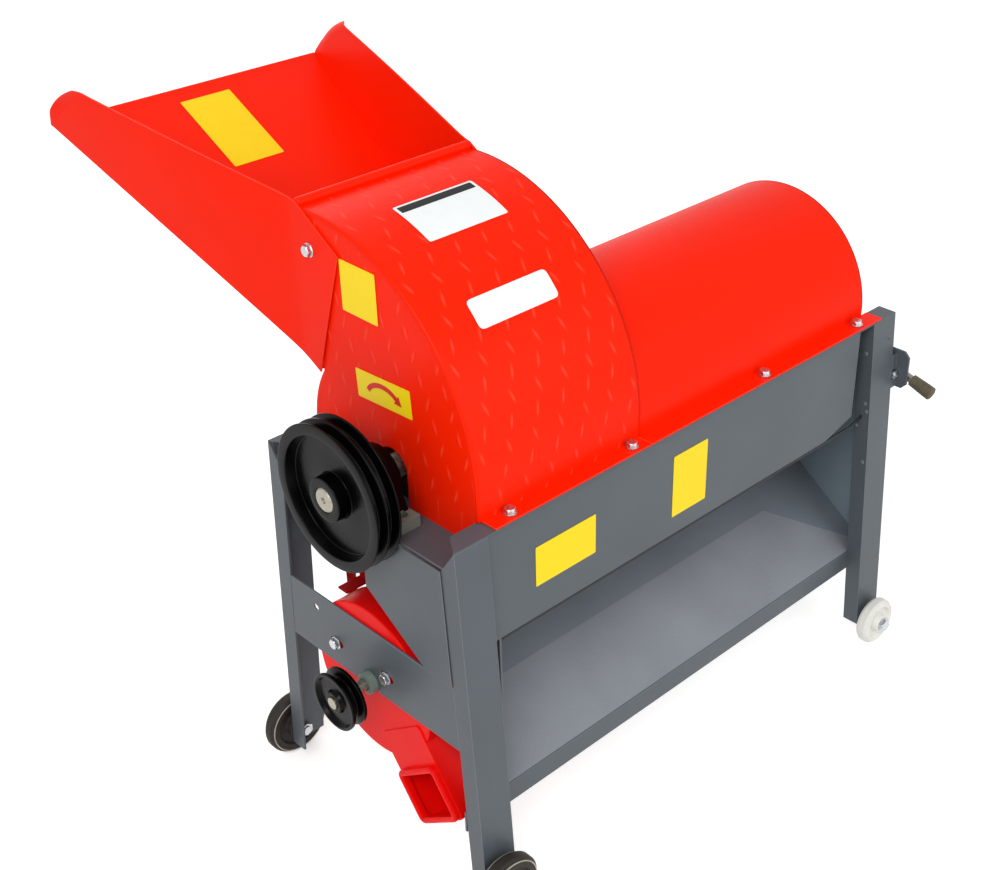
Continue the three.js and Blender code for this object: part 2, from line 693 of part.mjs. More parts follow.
// Lever gate at the trough's mouth, with its bracket, pivot bolt and rubber grip. The gate falls
// shut on a stop under its arm.
const gatePlane = troughEnd + plate;
function gateBracket() {
  const x1 = gatePlane - gap;
  const top = gatePivotZ + bracketTop;
  const stop = gatePivotZ - gateEyeRadius - gap;
  const low = stop - gateStopDepth;
  const outer = gatePivotY - bracketHalf;
  const inner = gatePivotY + bracketHalf;
  const outline = [[outer, low + bracketCorner], [outer + bracketCorner, low], [inner, low],
    [inner, top - bracketCorner], [inner - bracketCorner, top], [outer + bracketCorner, top],
    [outer, top - bracketCorner]];
  const edge = (z) => -(halfWidth + legLean(z));
  const high = top - bracketCorner;
  const web = [[edge(low), low], [edge(low) + plate, low], [edge(high) + plate, high], [edge(high), high]];
  const lug = block([x1 - overrun, gatePlane + plate], [gatePivotY + gateEyeRadius / 2, inner], [low, stop]);
  const nutRoom = barX(boltHeadRadius + gap, [frameLength, x1 - plate], gatePivotY, gatePivotZ, boltFaces);
  const welded = cutFrom(prismX(web, frameLength + gap, x1), nutRoom);
  const body = join(prismX(outline, x1 - plate, x1), welded, lug);
  const hole = boltHoleX(pivotRadius, [x1 - plate, x1], gatePivotY, gatePivotZ);
  return piece("gate_bracket", cutFrom(body, hole), greyPaint);
}

function leverLine(distance) {
  const length = Math.hypot(1, leverDroopShare);
  return [gatePivotY - distance / length, gatePivotZ - distance * leverDroopShare / length];
}

function leverBar(radius, from, to, faces) {
  const [y0, z0] = leverLine(from);
  const [y1, z1] = leverLine(to);
  const x = gatePlane + plate / 2 + leverRadius;
  const tilt = Math.atan2(z1 - z0, y1 - y0);
  return solid(bar(radius, to - from, faces).rotateX(tilt).translate(x, (y0 + y1) / 2, (z0 + z1) / 2));
}

function cobGate() {
  const cover = troughOutline(concaveOuter + gateMargin);
  const edge = cover.at(-1)[1];
  const eye = arc(gatePivotY, gatePivotZ, gateEyeRadius, 90, 270, smallFaces / 2);
  const arm = [...eye, [0, gatePivotZ - gateEyeRadius], [0, gatePivotZ + gateEyeRadius]];
  const plateOutline = cover.map(([y, z]) => [y, Math.min(z, edge)]);
  const flat = join(...[plateOutline, arm].map((outline) => prismX(outline, gatePlane, gatePlane + plate)));
  const outerFace = gatePlane + plate + 2 * leverRadius;
  const hole = boltHoleX(pivotRadius, [gatePlane, outerFace], gatePivotY, gatePivotZ);
  const lever = leverBar(leverRadius, washerRadius + overrun, gateEyeRadius + leverReach, boltFaces);
  return piece("cob_gate", cutFrom(join(flat, lever), hole), steel);
}

function gateGrip() {
  const start = gateEyeRadius + leverReach - gripLength + plate;
  const body = leverBar(gripRadius, start, start + gripLength, smallFaces);
  const bore = leverBar(leverRadius + gap, start - overrun, gateEyeRadius + leverReach + gap, smallFaces);
  return piece("gate_grip", cutFrom(body, bore), rubber);
}

// The shaft turns in its two bearings and carries the drum and the pulley.
function rotorShaft() {
  const ends = [shaftNearEnd, frameLength - shaftFarInset];
  return piece("rotor_shaft", barX(shaftRadius, ends, 0, shaftRise, smallFaces), steel);
}

function rotorDrum() {
  const bore = shaftRadius + gap;
  const inner = drumRadius - drumWall;
  const discs = [drumStart, drumEnd - drumWall * 2];
  const shell = [[inner, drumStart], [drumRadius, drumStart], [drumRadius, drumEnd], [inner, drumEnd]];
  const tube = turned(shell, smallFaces);
  const webs = discs.map((x) => turned([[bore, x], [drumRadius - drumWall / 2, x],
    [drumRadius - drumWall / 2, x + drumWall * 2], [bore, x + drumWall * 2]], smallFaces));
  const holes = discs.flatMap((x) => Array.from({ length: drumDiscHoles }, (_, i) => {
    const angle = 2 * Math.PI * (i + 0.5) / drumDiscHoles;
    const reach = (bore + inner) / 2;
    return barX(drumDiscHoleRadius, [x - overrun, x + drumWall * 2 + overrun],
      reach * Math.cos(angle), reach * Math.sin(angle), boltFaces);
  }));
  const paddles = [-1, 1].map((side) => block([drumEnd - paddleLength, drumEnd],
    [-paddleThickness / 2, paddleThickness / 2],
    [side * inner, side * paddleRadius].sort((a, b) => a - b)));
  const drum = piece("rotor_drum", cutFrom(join(tube, ...webs, ...paddles), ...holes), steel);
  drum.position.z = shaftRise;
  return drum;
}

// A screw flight round the drum, which pulls the ears in from the hopper. Its steps fall on the
// drum's own facets, so that the two keep their gap all the way round.
function feedAuger() {
  const steps = augerTurns * smallFaces;
  const inner = drumRadius + gap;
  const travel = housingEnd - augerEndInset - augerStart - augerThickness;
  const corners = [];
  const faces = [];
  for (let i = 0; i <= steps; i += 1) {
    const angle = 2 * Math.PI * augerTurns * i / steps;
    const x = augerStart + travel * i / steps;
    for (const [radius, along] of [[inner, x], [augerRadius, x],
      [augerRadius, x + augerThickness], [inner, x + augerThickness]]) {
      corners.push(along, radius * Math.cos(angle), radius * Math.sin(angle));
    }
  }
  const quad = (a, b, c, d) => faces.push(a, b, c, a, c, d);
  for (let i = 0; i < steps; i += 1) {
    for (let k = 0; k < 4; k += 1) {
      quad(4 * i + k, 4 * i + (k + 1) % 4, 4 * i + 4 + (k + 1) % 4, 4 * i + 4 + k);
    }
  }
  quad(3, 2, 1, 0);
  quad(4 * steps, 4 * steps + 1, 4 * steps + 2, 4 * steps + 3);
  const geometry = new THREE.BufferGeometry();
  geometry.setAttribute("position", new THREE.Float32BufferAttribute(corners, 3));
  geometry.setIndex(faces);
  const flight = piece("feed_auger", solid(geometry), steel);
  flight.position.z = shaftRise;
  return flight;
}

// A beater bar: a flat bar on edge, on a flat of the drum, with its outer side cut into blunt teeth.
function beaterBar(index) {
  const beaterStart = housingEnd + beaterStartInset;
  const beaterEnd = drumEnd - beaterEndInset;
  const count = Math.floor((beaterEnd - beaterStart) / toothPitch);
  const pitch = (beaterEnd - beaterStart) / count;
  const root = beaterRadius - toothDepth;
  const seat = drumRadius * Math.cos(Math.PI / smallFaces) + gap;
  const toothShares = [[0, 0], [0.2, 1], [0.6, 1], [0.8, 0]];
  const teeth = Array.from({ length: count }, (_, i) => toothShares.map(([along, up]) =>
    [beaterStart + pitch * (i + along), root + toothDepth * up])).flat();
  const outline = [[beaterStart, seat], ...teeth, [beaterEnd, root], [beaterEnd, seat]];
  const body = prismY(outline, -beaterThickness / 2, beaterThickness / 2);
  const part = piece(`beater_bar_${index + 1}`, body, steel);
  part.position.z = shaftRise;
  part.rotation.x = 2 * Math.PI * (index + 0.5) / beaterCount;
  return part;
}

// A pillow block: a cast foot with a round housing, and the bearing insert that turns in it.
function bearingBlock(name, x) {
  const seat = -seatDrop + gap;
  const rise = shaftRise - seat;
  const half = blockFootLength / 2;
  const slope = arc(0, rise, blockRadius, -blockShoulder, 180 + blockShoulder, smallFaces / 2);
  const neck = blockRadius + blockFootHeight / 2;
  const outline = [[-half, 0], [half, 0], [half, blockFootHeight], [neck, blockFootHeight],
    ...slope, [-neck, blockFootHeight], [-half, blockFootHeight]];
  const foot = block([-blockFootWidth / 2, blockFootWidth / 2], [-half, half], [0, blockFootHeight]);
  const casting = join(prismX(outline, -blockWidth / 2, blockWidth / 2), foot);
  const cuts = [
    barX(insertRadius + gap, [-blockFootWidth, blockFootWidth], 0, rise),
    ...[-1, 1].map((side) => barZ(blockBoltRadius, 0, side * blockBoltSpacing / 2,
      [-overrun, blockFootHeight + overrun], boltFaces))];
  const part = piece(name, cutFrom(casting, ...cuts), castPaint);
  part.position.set(x, 0, seat);
  return part;
}

function bearingInsert(name, x) {
  const half = insertWidth / 2;
  const ring = blockWidth / 2;
  const collar = (insertRadius + shaftRadius) / 2;
  const bore = shaftRadius + gap;
  const part = piece(name, turned([[bore, -half], [collar, -half], [collar, -ring], [insertRadius, -ring],
    [insertRadius, ring], [collar, ring], [collar, half], [bore, half]], smallFaces), blackPaint);
  part.position.set(x, 0, shaftRise);
  return part;
}

// The outline of a V-belt pulley's rim, hub and web, from its outer face inwards.
function pulleyProfile(radius, width, rim, hub, bore, web, hubOut, grooves) {
  const webStart = (width - web) / 2;
  const grooveStart = (width - grooves * grooveWidth - (grooves - 1) * grooveLand) / 2;
  const slant = (grooveWidth - grooveFloor) / 2;
  const cuts = Array.from({ length: grooves }, (_, i) => {
    const x = grooveStart + i * (grooveWidth + grooveLand);
    return [[radius, x], [radius - grooveDepth, x + slant],
      [radius - grooveDepth, x + grooveWidth - slant], [radius, x + grooveWidth]];
  }).flat();
  return [[bore, -hubOut], [hub, -hubOut], [hub, webStart], [rim, webStart], [rim + sheet, 0],
    [radius, 0], ...cuts, [radius, width], [rim + sheet, width], [rim, webStart + web],
    [hub, webStart + web], [hub, width + hubOut], [bore, width + hubOut]];
}

function mainPulley() {
  const profile = pulleyProfile(pulleyRadius, pulleyWidth, pulleyRim, pulleyHub, shaftRadius + gap,
    pulleyWeb, pulleyHubOut, 2);
  const part = piece("main_pulley", turned(profile), blackPaint);
  part.position.set(pulleyFace, 0, shaftRise);
  return part;
}

// The fan's scroll in Y and Z: a round case with a straight duct leaving its lower front.
const ductFlow = [-Math.sin(ductAngle), -Math.cos(ductAngle)];
const ductAcross = [-Math.cos(ductAngle), Math.sin(ductAngle)];
const ductPoint = (along, across) => [
  fanY + ductFlow[0] * along + ductAcross[0] * across,
  fanZ + ductFlow[1] * along + ductAcross[1] * across];
const ductBox = (from, to, inner, outer) =>
  [ductPoint(from, inner), ductPoint(to, inner), ductPoint(to, outer), ductPoint(from, outer)];

function fanHousing() {
  const x0 = plate + gap;
  const x1 = x0 + fanWidth;
  const outer = join(
    barX(fanRadius, [x0, x1], fanY, fanZ),
    prismX(ductBox(0, ductEnd, ductInner, ductOuter), x0, x1));
  const rim = prismX(ductBox(mouthStart, ductEnd, ductInner, ductOuter), x0 - sheet, x0 + sheet);
  const hollow = join(
    barX(fanRadius - sheet, [x0 + sheet, x1 - sheet], fanY, fanZ),
    prismX(ductBox(0, ductEnd - sheet, ductInner + sheet, ductOuter - sheet), x0 + sheet, x1 - sheet));
  const opening = ductBox(mouthStart + mouthRim, ductEnd - mouthRim,
    ductInner + mouthRim, ductOuter - mouthRim);
  const mouth = prismX(opening, x0 - sheet - overrun, x0 + sheet + overrun);
  const inlet = barX(fanInlet, [x1 - sheet - overrun, x1 + overrun], fanY, fanZ);
  const face = [x0 - overrun, x0 + sheet + overrun];
  const shaftHole = barX(fanShaftRadius + sheet, face, fanY, fanZ, smallFaces);
  const boltHoles = [-1, 1].map((side) =>
    boltHoleX(boltRadius, [x0, x0 + sheet], fanBoltMiddle + side * fanBoltSpacing / 2, -fanBoltDrop));
  const body = cutFrom(join(outer, rim), hollow, mouth, inlet, shaftHole, ...boltHoles);
  return piece("fan_housing", body, redPaint);
}

// Two straps hang the fan from the near end panel.
function fanHanger(name, y) {
  const x1 = nearPanelX - plate - gap;
  const foot = fanZ + Math.sqrt((fanRadius + gap) ** 2 - (Math.abs(y - fanY) - hangerWidth / 2) ** 2);
  const top = trayTop(y) + hangerWidth;
  const tongue = block([plate + gap + fanWidth - hangerWidth, x1],
    [y - hangerWidth / 2, y + hangerWidth / 2], [foot, foot + hangerThickness]);
  const strap = block([x1 - hangerThickness, x1], [y - hangerWidth / 2, y + hangerWidth / 2], [foot, top]);
  return piece(name, join(tongue, strap), darkRedPaint);
}

function fanImpeller() {
  const x0 = plate + gap + sheet + impellerInset;
  const x1 = x0 + impellerWidth;
  const blades = Array.from({ length: impellerBlades }, (_, i) => {
    const blade = new THREE.BoxGeometry(impellerWidth, sheet, impellerRadius - impellerHub / 2);
    blade.translate((x0 + x1) / 2, 0, (impellerRadius + impellerHub / 2) / 2);
    return solid(blade.rotateX(2 * Math.PI * i / impellerBlades));
  });
  const disc = barX(impellerRadius, [x0, x0 + sheet], 0, 0, smallFaces);
  const hub = barX(impellerHub, [x0, x1], 0, 0, smallFaces);
  const bore = barX(fanShaftRadius + gap, [x0 - overrun, x1 + overrun], 0, 0, smallFaces);
  const part = piece("fan_impeller", cutFrom(join(disc, hub, ...blades), bore), darkRedPaint);
  part.position.set(0, fanY, fanZ);
  return part;
}

function fanShaft() {
  const ends = [fanPulleyFace - sheet, plate + gap + sheet + impellerInset + impellerWidth];
  return piece("fan_shaft", barX(fanShaftRadius, ends, fanY, fanZ, smallFaces), steel);
}

function fanBearing() {
  const x1 = plate;
  const x0 = x1 - fanBearingLength;
  const bore = fanShaftRadius + gap;
  const part = piece("fan_bearing", turned([[bore, x0], [fanBearingNeck, x0],
    [fanBearingRadius, x0 + sheet], [fanBearingRadius, x1], [bore, x1]], smallFaces), castPaint);
  part.position.set(0, fanY, fanZ);
  return part;
}

function fanPulley() {
  const profile = pulleyProfile(fanPulleyRadius, fanPulleyWidth, fanPulleyRim, impellerHub,
    fanShaftRadius + gap, pulleyWeb, 0, 1);
  const part = piece("fan_pulley", turned(profile, smallFaces), blackPaint);
  part.position.set(fanPulleyFace, fanY, fanZ);
  return part;
}

// A bolt along +Z with its head above the origin, a washer under the head and a nut.
function boltSolid(radius, grip, headRadius = boltHeadRadius, tail = nutHeight + overrun) {
  return join(
    barZ(headRadius + washerRadius - boltHeadRadius, 0, 0, [0, washerHeight], boltFaces),
    barZ(headRadius, 0, 0, [washerHeight - gap, washerHeight + boltHeadHeight], barFaces),
    barZ(radius, 0, 0, [-grip - tail, washerHeight], barFaces),
    barZ(headRadius, 0, 0, [-grip - nutHeight, -grip], barFaces));
}

function coverBolt(x, side, index) {
  const name = `${side < 0 ? "front" : "rear"}_cover_bolt_${index + 1}`;
  const part = piece(name, boltSolid(boltRadius, flangeTop + gap + sheet + gap), zinc);
  part.rotation.z = Math.PI / barFaces;
  part.position.set(x, side * (halfWidth - coverBoltInset), flangeTop + gap);
  return part;
}

function hopperBolt(side) {
  const name = `${side < 0 ? "near" : "far"}_hopper_bolt`;
  const part = piece(name, boltSolid(boltRadius, 2 * sheet + 3 * gap), zinc);
  part.rotation.y = side * Math.PI / 2;
  const face = side < 0 ? housingStart - gap - sheet - gap : housingEnd + gap + sheet + gap;
  part.position.set(face, hopperBoltY, hopperBoltZ);
  return part;
}

// A stud of the fan: its flat head lies inside the case, its washer and nut on the slotted rail.
function fanBolt(side, index) {
  const y = fanBoltMiddle + side * fanBoltSpacing / 2;
  const inside = plate + gap + sheet + gap;
  const nutFace = -gap - washerHeight;
  const body = join(
    barX(washerRadius, [nutFace, -gap], y, -fanBoltDrop, boltFaces),
    barX(boltHeadRadius, [nutFace - nutHeight, -washerHeight], y, -fanBoltDrop, barFaces),
    barX(boltRadius, [nutFace - nutHeight - overrun, inside + gap], y, -fanBoltDrop, boltFaces),
    barX(washerRadius, [inside, inside + fanBoltHead], y, -fanBoltDrop, boltFaces));
  return piece(`fan_bolt_${index + 1}`, body, zinc);
}

function gatePivot() {
  const grip = 2 * plate + 3 * gap;
  const part = piece("gate_pivot_bolt", boltSolid(pivotRadius, grip + gap), zinc);
  part.rotation.y = Math.PI / 2;
  part.position.set(gatePlane + plate + gap, gatePivotY, gatePivotZ);
  return part;
}

// A wheel on its axle bolt, outside a leg's wide flange, with a hub that stands proud of the tread.
function wheel(name, legX, side, material) {
  const { x, y, z, radius } = wheelAxle(legX, side);
  const half = wheelWidth / 2;
  const proud = half + wheelHubProud;
  const crown = radius - wheelCrown;
  const dish = radius * wheelDishShare;
  const hub = radius * wheelHubShare;
  const bore = axleRadius + gap;
  const profile = [[bore, -proud], [hub, -proud], [hub + sheet, -half / 2], [dish, -half / 2],
    [dish + sheet, -half], [crown, -half], [radius, -half / 2], [radius, half / 2], [crown, half],
    [hub, half], [hub, proud], [bore, proud]];
  const part = piece(name, turned(profile, smallFaces), material);
  part.rotation.z = Math.PI / 2;
  part.position.set(x, y + side * (wheelOffset + proud), z);
  return part;
}

function axleBolt(name, legX, side) {
  const { x, y, z } = wheelAxle(legX, side);
  const tilt = axleHeadRadius * legSplayShare;
  const reach = wheelOffset + wheelWidth + 2 * wheelHubProud + gap;
  const part = piece(name, boltSolid(axleRadius, reach + plate + gap + tilt, axleHeadRadius), zinc);
  part.rotation.x = -side * Math.PI / 2;
  part.position.set(x, y + side * reach, z);
  return part;
}

// The assembly.
const sheller = new THREE.Group();
const add = (...parts) => sheller.add(...parts);
const corners = [
  ["near_front", 0, -1, darkTyre], ["near_rear", 0, 1, darkTyre],
  ["far_front", farLegX, -1, nylon], ["far_rear", farLegX, 1, nylon]];
for (const [place, x, side, tyre] of corners) {
  add(leg(`${place}_leg`, x, side, x === 0), wheel(`${place}_wheel`, x, side, tyre),
    axleBolt(`${place}_axle_bolt`, x, side));
}
add(sideSheet("front_side_sheet", -1, frameLength - frontPanelEndGap, panelCornerRun, panelCornerRise));
add(sideSheet("rear_side_sheet", 1, farLegX - gap, 0, 0));
add(nearEndSheet(), farEndSheet(), nearCrossRail(), grainTray(), lowerFrontRail());
add(feedHousing(), drumCover(), hopper(), concave());
add(cobTrough(), gateBracket(), cobGate(), gateGrip(), gatePivot());
add(rotorShaft(), rotorDrum(), feedAuger(), mainPulley());
for (let i = 0; i < beaterCount; i += 1) add(beaterBar(i));
add(bearingBlock("near_bearing_block", nearBlockX), bearingBlock("far_bearing_block", farBlockX));
add(bearingInsert("near_bearing_insert", nearBlockX), bearingInsert("far_bearing_insert", farBlockX));
add(fanHousing(), fanImpeller(), fanShaft(), fanBearing(), fanPulley());
hangerShares.forEach((share, i) => add(fanHanger(`fan_hanger_${i + 1}`, fanY + share * fanRadius)));
[-1, 1].forEach((side, i) => add(fanBolt(side, i)));
for (const side of [-1, 1]) {
  coverBoltXs.forEach((x, i) => add(coverBolt(x, side, i)));
  add(hopperBolt(side));
}

// The origin goes to the floor, under the middle of the whole outline.
sheller.updateMatrixWorld(true);
const bounds = new THREE.Box3().setFromObject(sheller, true);
sheller.position.set(-(bounds.min.x + bounds.max.x) / 2, -(bounds.min.y + bounds.max.y) / 2, -bounds.min.z);
sheller.updateMatrixWorld(true);

export default sheller;
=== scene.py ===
"""Corn sheller: a red feed housing, drum cover and flared hopper on a grey folded-sheet frame with
four small wheels, a two-groove drive pulley, a chaff fan under it and a lever gate at the cob end.
Sizes are in millimetres, counted from the outer face of the near legs in X, from the shaft line in
Y and from the frame's top face in Z. put() turns them into metres in the fixed frame.
"""
import json

import bmesh
import bpy
import numpy as np
from mathutils import Matrix, Vector


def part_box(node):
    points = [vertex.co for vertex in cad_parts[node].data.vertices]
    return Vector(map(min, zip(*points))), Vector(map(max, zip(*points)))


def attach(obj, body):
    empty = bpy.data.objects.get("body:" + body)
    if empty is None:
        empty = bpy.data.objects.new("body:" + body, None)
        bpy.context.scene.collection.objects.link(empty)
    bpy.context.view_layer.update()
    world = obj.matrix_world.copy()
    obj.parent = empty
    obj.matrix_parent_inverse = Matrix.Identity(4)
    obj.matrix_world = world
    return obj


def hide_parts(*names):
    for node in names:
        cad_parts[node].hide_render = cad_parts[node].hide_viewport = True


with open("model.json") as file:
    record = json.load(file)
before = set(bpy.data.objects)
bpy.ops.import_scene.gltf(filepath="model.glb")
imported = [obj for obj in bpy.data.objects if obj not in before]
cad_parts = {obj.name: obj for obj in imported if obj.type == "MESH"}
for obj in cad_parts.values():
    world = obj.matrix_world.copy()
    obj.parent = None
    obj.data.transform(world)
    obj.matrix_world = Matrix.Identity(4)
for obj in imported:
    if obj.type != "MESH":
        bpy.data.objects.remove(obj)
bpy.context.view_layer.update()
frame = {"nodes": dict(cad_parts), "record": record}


# Camera. It stands where the photograph was taken from, to the front left of the pulley end and
# well above the machine, found from the straight edges of the frame and the circle of the pulley.
image_width = 1000
image_height = 870
focal_px = 1508.8
axis_px = (550.46, 480.58)
camera_place = (-1.24225, -1.341372, 1.4648)
yaw, pitch, roll = np.radians([44.281, 32.479, 0.58])
sensor = 36
forward = np.array([np.sin(yaw) * np.cos(pitch), np.cos(yaw) * np.cos(pitch), -np.sin(pitch)])
level_right = np.array([np.cos(yaw), -np.sin(yaw), 0])
level_down = np.cross(forward, level_right)
right = np.cos(roll) * level_right + np.sin(roll) * level_down
down = np.cos(roll) * level_down - np.sin(roll) * level_right
lens = bpy.data.cameras.new("camera")
lens.sensor_fit = "HORIZONTAL"
lens.sensor_width = sensor
lens.lens = focal_px * sensor / image_width
lens.shift_x = (image_width / 2 - axis_px[0]) / image_width
lens.shift_y = (axis_px[1] - image_height / 2) / image_width
camera = bpy.data.objects.new("camera", lens)
facing = Matrix([right, -down, -forward]).transposed().to_4x4()
camera.matrix_world = Matrix.Translation(camera_place) @ facing
bpy.context.collection.objects.link(camera)
bpy.context.scene.camera = camera


# Floor and studio light. The floor is plain white paper that keeps a soft shadow, and three large
# soft boxes and an even sky light the machine at a plain level.
def linear(colour):
    """An sRGB hex colour as linear red, green, blue and 1: each channel to the power that sRGB sets."""
    channels = np.array([int(colour[i:i + 2], 16) for i in (1, 3, 5)]) / 255
    low = channels / 12.92
    high = ((channels + 0.055) / 1.055) ** 2.4
    return (*np.where(channels <= 0.04045, low, high), 1)


def add(tree, kind, settings=(), **inputs):
    """Adds one shader node with its settings, and sets or links its inputs. An input's name has _
    for each space, and a trailing number picks the socket of that place instead."""
    made = tree.nodes.new(kind)
    for key, value in dict(settings).items():
        setattr(made, key, value)
    for key, value in inputs.items():
        place = int(key[1:]) if key[1:].isdigit() else key.replace("_", " ")
        socket = made.inputs[place]
        if isinstance(value, bpy.types.NodeSocket):
            tree.links.new(value, socket)
        else:
            socket.default_value = value
    return made


def blank_material(name):
    """A material with nothing but its output, and its node tree."""
    material = bpy.data.materials.new(name)
    material.use_nodes = True
    tree = material.node_tree
    tree.nodes.clear()
    return material, tree, tree.nodes.new("ShaderNodeOutputMaterial")


def background_ray(tree):
    """1 on a ray from the camera, from a glossy surface or through glass, and 0 on all others."""
    path = add(tree, "ShaderNodeLightPath")
    seen = add(tree, "ShaderNodeMath", {"operation": "MAXIMUM"}, _0=path.outputs["Is Camera Ray"],
               _1=path.outputs["Is Glossy Ray"])
    return add(tree, "ShaderNodeMath", {"operation": "MAXIMUM"}, _0=seen.outputs[0],
               _1=path.outputs["Is Transmission Ray"]).outputs[0]


white = linear("#FFFFFF")
floor_half = 12
floor_lift = 0.5
floor_material, tree, out = blank_material("white_paper_floor")
paper = add(tree, "ShaderNodeBsdfDiffuse", Color=linear("#F4F4F2"))
lift = add(tree, "ShaderNodeMath", {"operation": "MULTIPLY"}, _0=background_ray(tree), _1=floor_lift)
glow = add(tree, "ShaderNodeEmission", Color=white, Strength=lift.outputs[0])
lifted = add(tree, "ShaderNodeAddShader", _0=paper.outputs[0], _1=glow.outputs[0])
tree.links.new(lifted.outputs[0], out.inputs["Surface"])
floor_mesh = bpy.data.meshes.new("floor")
floor_mesh.from_pydata([(-floor_half, -floor_half, 0), (floor_half, -floor_half, 0),
                        (floor_half, floor_half, 0), (-floor_half, floor_half, 0)], [], [(0, 1, 2, 3)])
floor_mesh.materials.append(floor_material)
floor = bpy.data.objects.new("floor", floor_mesh)
bpy.context.collection.objects.link(floor)

for name, place, aim, size, watts in (
        ("key_box", (-1.9, -1.3, 2.3), (-0.1, -0.1, 0.5), 1.4, 35),
        ("fill_box", (0.7, -2.8, 1.5), (0, 0, 0.4), 2.2, 21),
        ("back_box", (0.6, 2.4, 2.2), (0, 0, 0.5), 2.2, 17)):
    lamp = bpy.data.lights.new(name, "AREA")
    lamp.shape = "DISK"
    lamp.size = size
    lamp.energy = watts
    box = bpy.data.objects.new(name, lamp)
    box.location = place
    box.rotation_euler = (Vector(aim) - Vector(place)).to_track_quat("-Z", "Y").to_euler()
    bpy.context.collection.objects.link(box)

sky_strength = 0.54
sky = bpy.data.worlds.new("sky")
bpy.context.scene.world = sky
sky.use_nodes = True
tree = sky.node_tree
tree.nodes.clear()
even = add(tree, "ShaderNodeBackground", Color=white, Strength=sky_strength)
backdrop = add(tree, "ShaderNodeBackground", Color=white, Strength=1)
both = add(tree, "ShaderNodeMixShader", _0=background_ray(tree), _1=even.outputs[0], _2=backdrop.outputs[0])
add(tree, "ShaderNodeOutputWorld", Surface=both.outputs[0])
bpy.context.scene.view_settings.view_transform = "Standard"


# Legs. Four bent angles of 3 mm sheet steel that lean outwards to the floor, cut and folded on a
# press, welded to the frame and sprayed with satin grey machine enamel.
mm = 0.001
shaft_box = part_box("rotor_shaft")
origin = np.array([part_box("near_front_leg")[0].x, (shaft_box[0].y + shaft_box[1].y) / 2,
                   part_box("front_side_sheet")[1].z])
noise_range = (0.3, 0.7)
mixed_range = (0.4, 0.9)
patch_size = 120
paint_grain = 4
grain_share = 0.3
peel_size = 2.2
peel_depth = 0.05
gloss_drift = 0.05
merge_gap = 0.01
sliver_gap = 0.005
flat_degrees = 0.5


def enamel(name, colour, roughness, peel=0.5, shade=0.06, level=0.3, marks="", painted_glint_share=0.5):
    """Sprayed enamel on sheet steel: its colour drifts a little over hand-wide patches and fine
    grain, its gloss varies with the spray, and orange peel of the given strength dimples it. The
    marks colour is a painted glint, a painted highlight mixed in on raised tread marks after the
    mesh's own mark attribute."""
    material, tree, out = blank_material(name)
    place = add(tree, "ShaderNodeTexCoord").outputs["Object"]
    patches = add(tree, "ShaderNodeTexNoise", Vector=place, Scale=1 / (patch_size * mm), Detail=2)
    grain = add(tree, "ShaderNodeTexNoise", Vector=place, Scale=1 / (paint_grain * mm), Detail=3)
    dimples = add(tree, "ShaderNodeTexNoise", Vector=place, Scale=1 / (peel_size * mm), Detail=1)
    mix = add(tree, "ShaderNodeMath", {"operation": "MULTIPLY_ADD"}, _0=grain.outputs["Fac"],
              _1=grain_share, _2=patches.outputs["Fac"])
    value = add(tree, "ShaderNodeMapRange", _0=mix.outputs[0], _1=mixed_range[0], _2=mixed_range[1],
                _3=1 - shade, _4=1 + shade)
    tint = add(tree, "ShaderNodeHueSaturation", Color=linear(colour), Value=value.outputs[0])
    skin = tint.outputs["Color"]
    if marks:
        raised = add(tree, "ShaderNodeAttribute", {"attribute_name": "mark"})
        amount = add(tree, "ShaderNodeMath", {"operation": "MULTIPLY"}, _0=raised.outputs["Fac"],
                     _1=painted_glint_share)
        glint = add(tree, "ShaderNodeMix", {"data_type": "RGBA"}, _0=amount.outputs[0], _6=skin,
                    _7=linear(marks))
        skin = glint.outputs[2]
    gloss = add(tree, "ShaderNodeMapRange", _0=grain.outputs["Fac"], _1=noise_range[0], _2=noise_range[1],
                _3=roughness - gloss_drift, _4=roughness + gloss_drift)
    peeled = add(tree, "ShaderNodeBump", Strength=peel, Distance=peel_depth * mm,
                 Height=dimples.outputs["Fac"])
    paint = add(tree, "ShaderNodeBsdfPrincipled", Base_Color=skin, Roughness=gloss.outputs[0],
                Normal=peeled.outputs["Normal"], IOR=1.5, Specular_IOR_Level=level)
    tree.links.new(paint.outputs[0], out.inputs["Surface"])
    return material


def body_of(node):
    """The body that carries a CAD node."""
    bodies = frame["record"]["behaviour"]["bodies"]
    return next(body for body, members in bodies.items() if node in members)


def bevelled(piece, radius, steps=2, angle=35, edge_material=0):
    """Rounds every edge of a piece that is sharper than the angle, with its own material there."""
    if "even_shading" in piece.modifiers:
        piece.modifiers.remove(piece.modifiers["even_shading"])
    bevel = piece.modifiers.new("edge_round", "BEVEL")
    bevel.width = radius * mm
    bevel.segments = steps
    bevel.limit_method = "ANGLE"
    bevel.angle_limit = np.radians(angle)
    bevel.material = edge_material
    bevel.harden_normals = True
    return piece


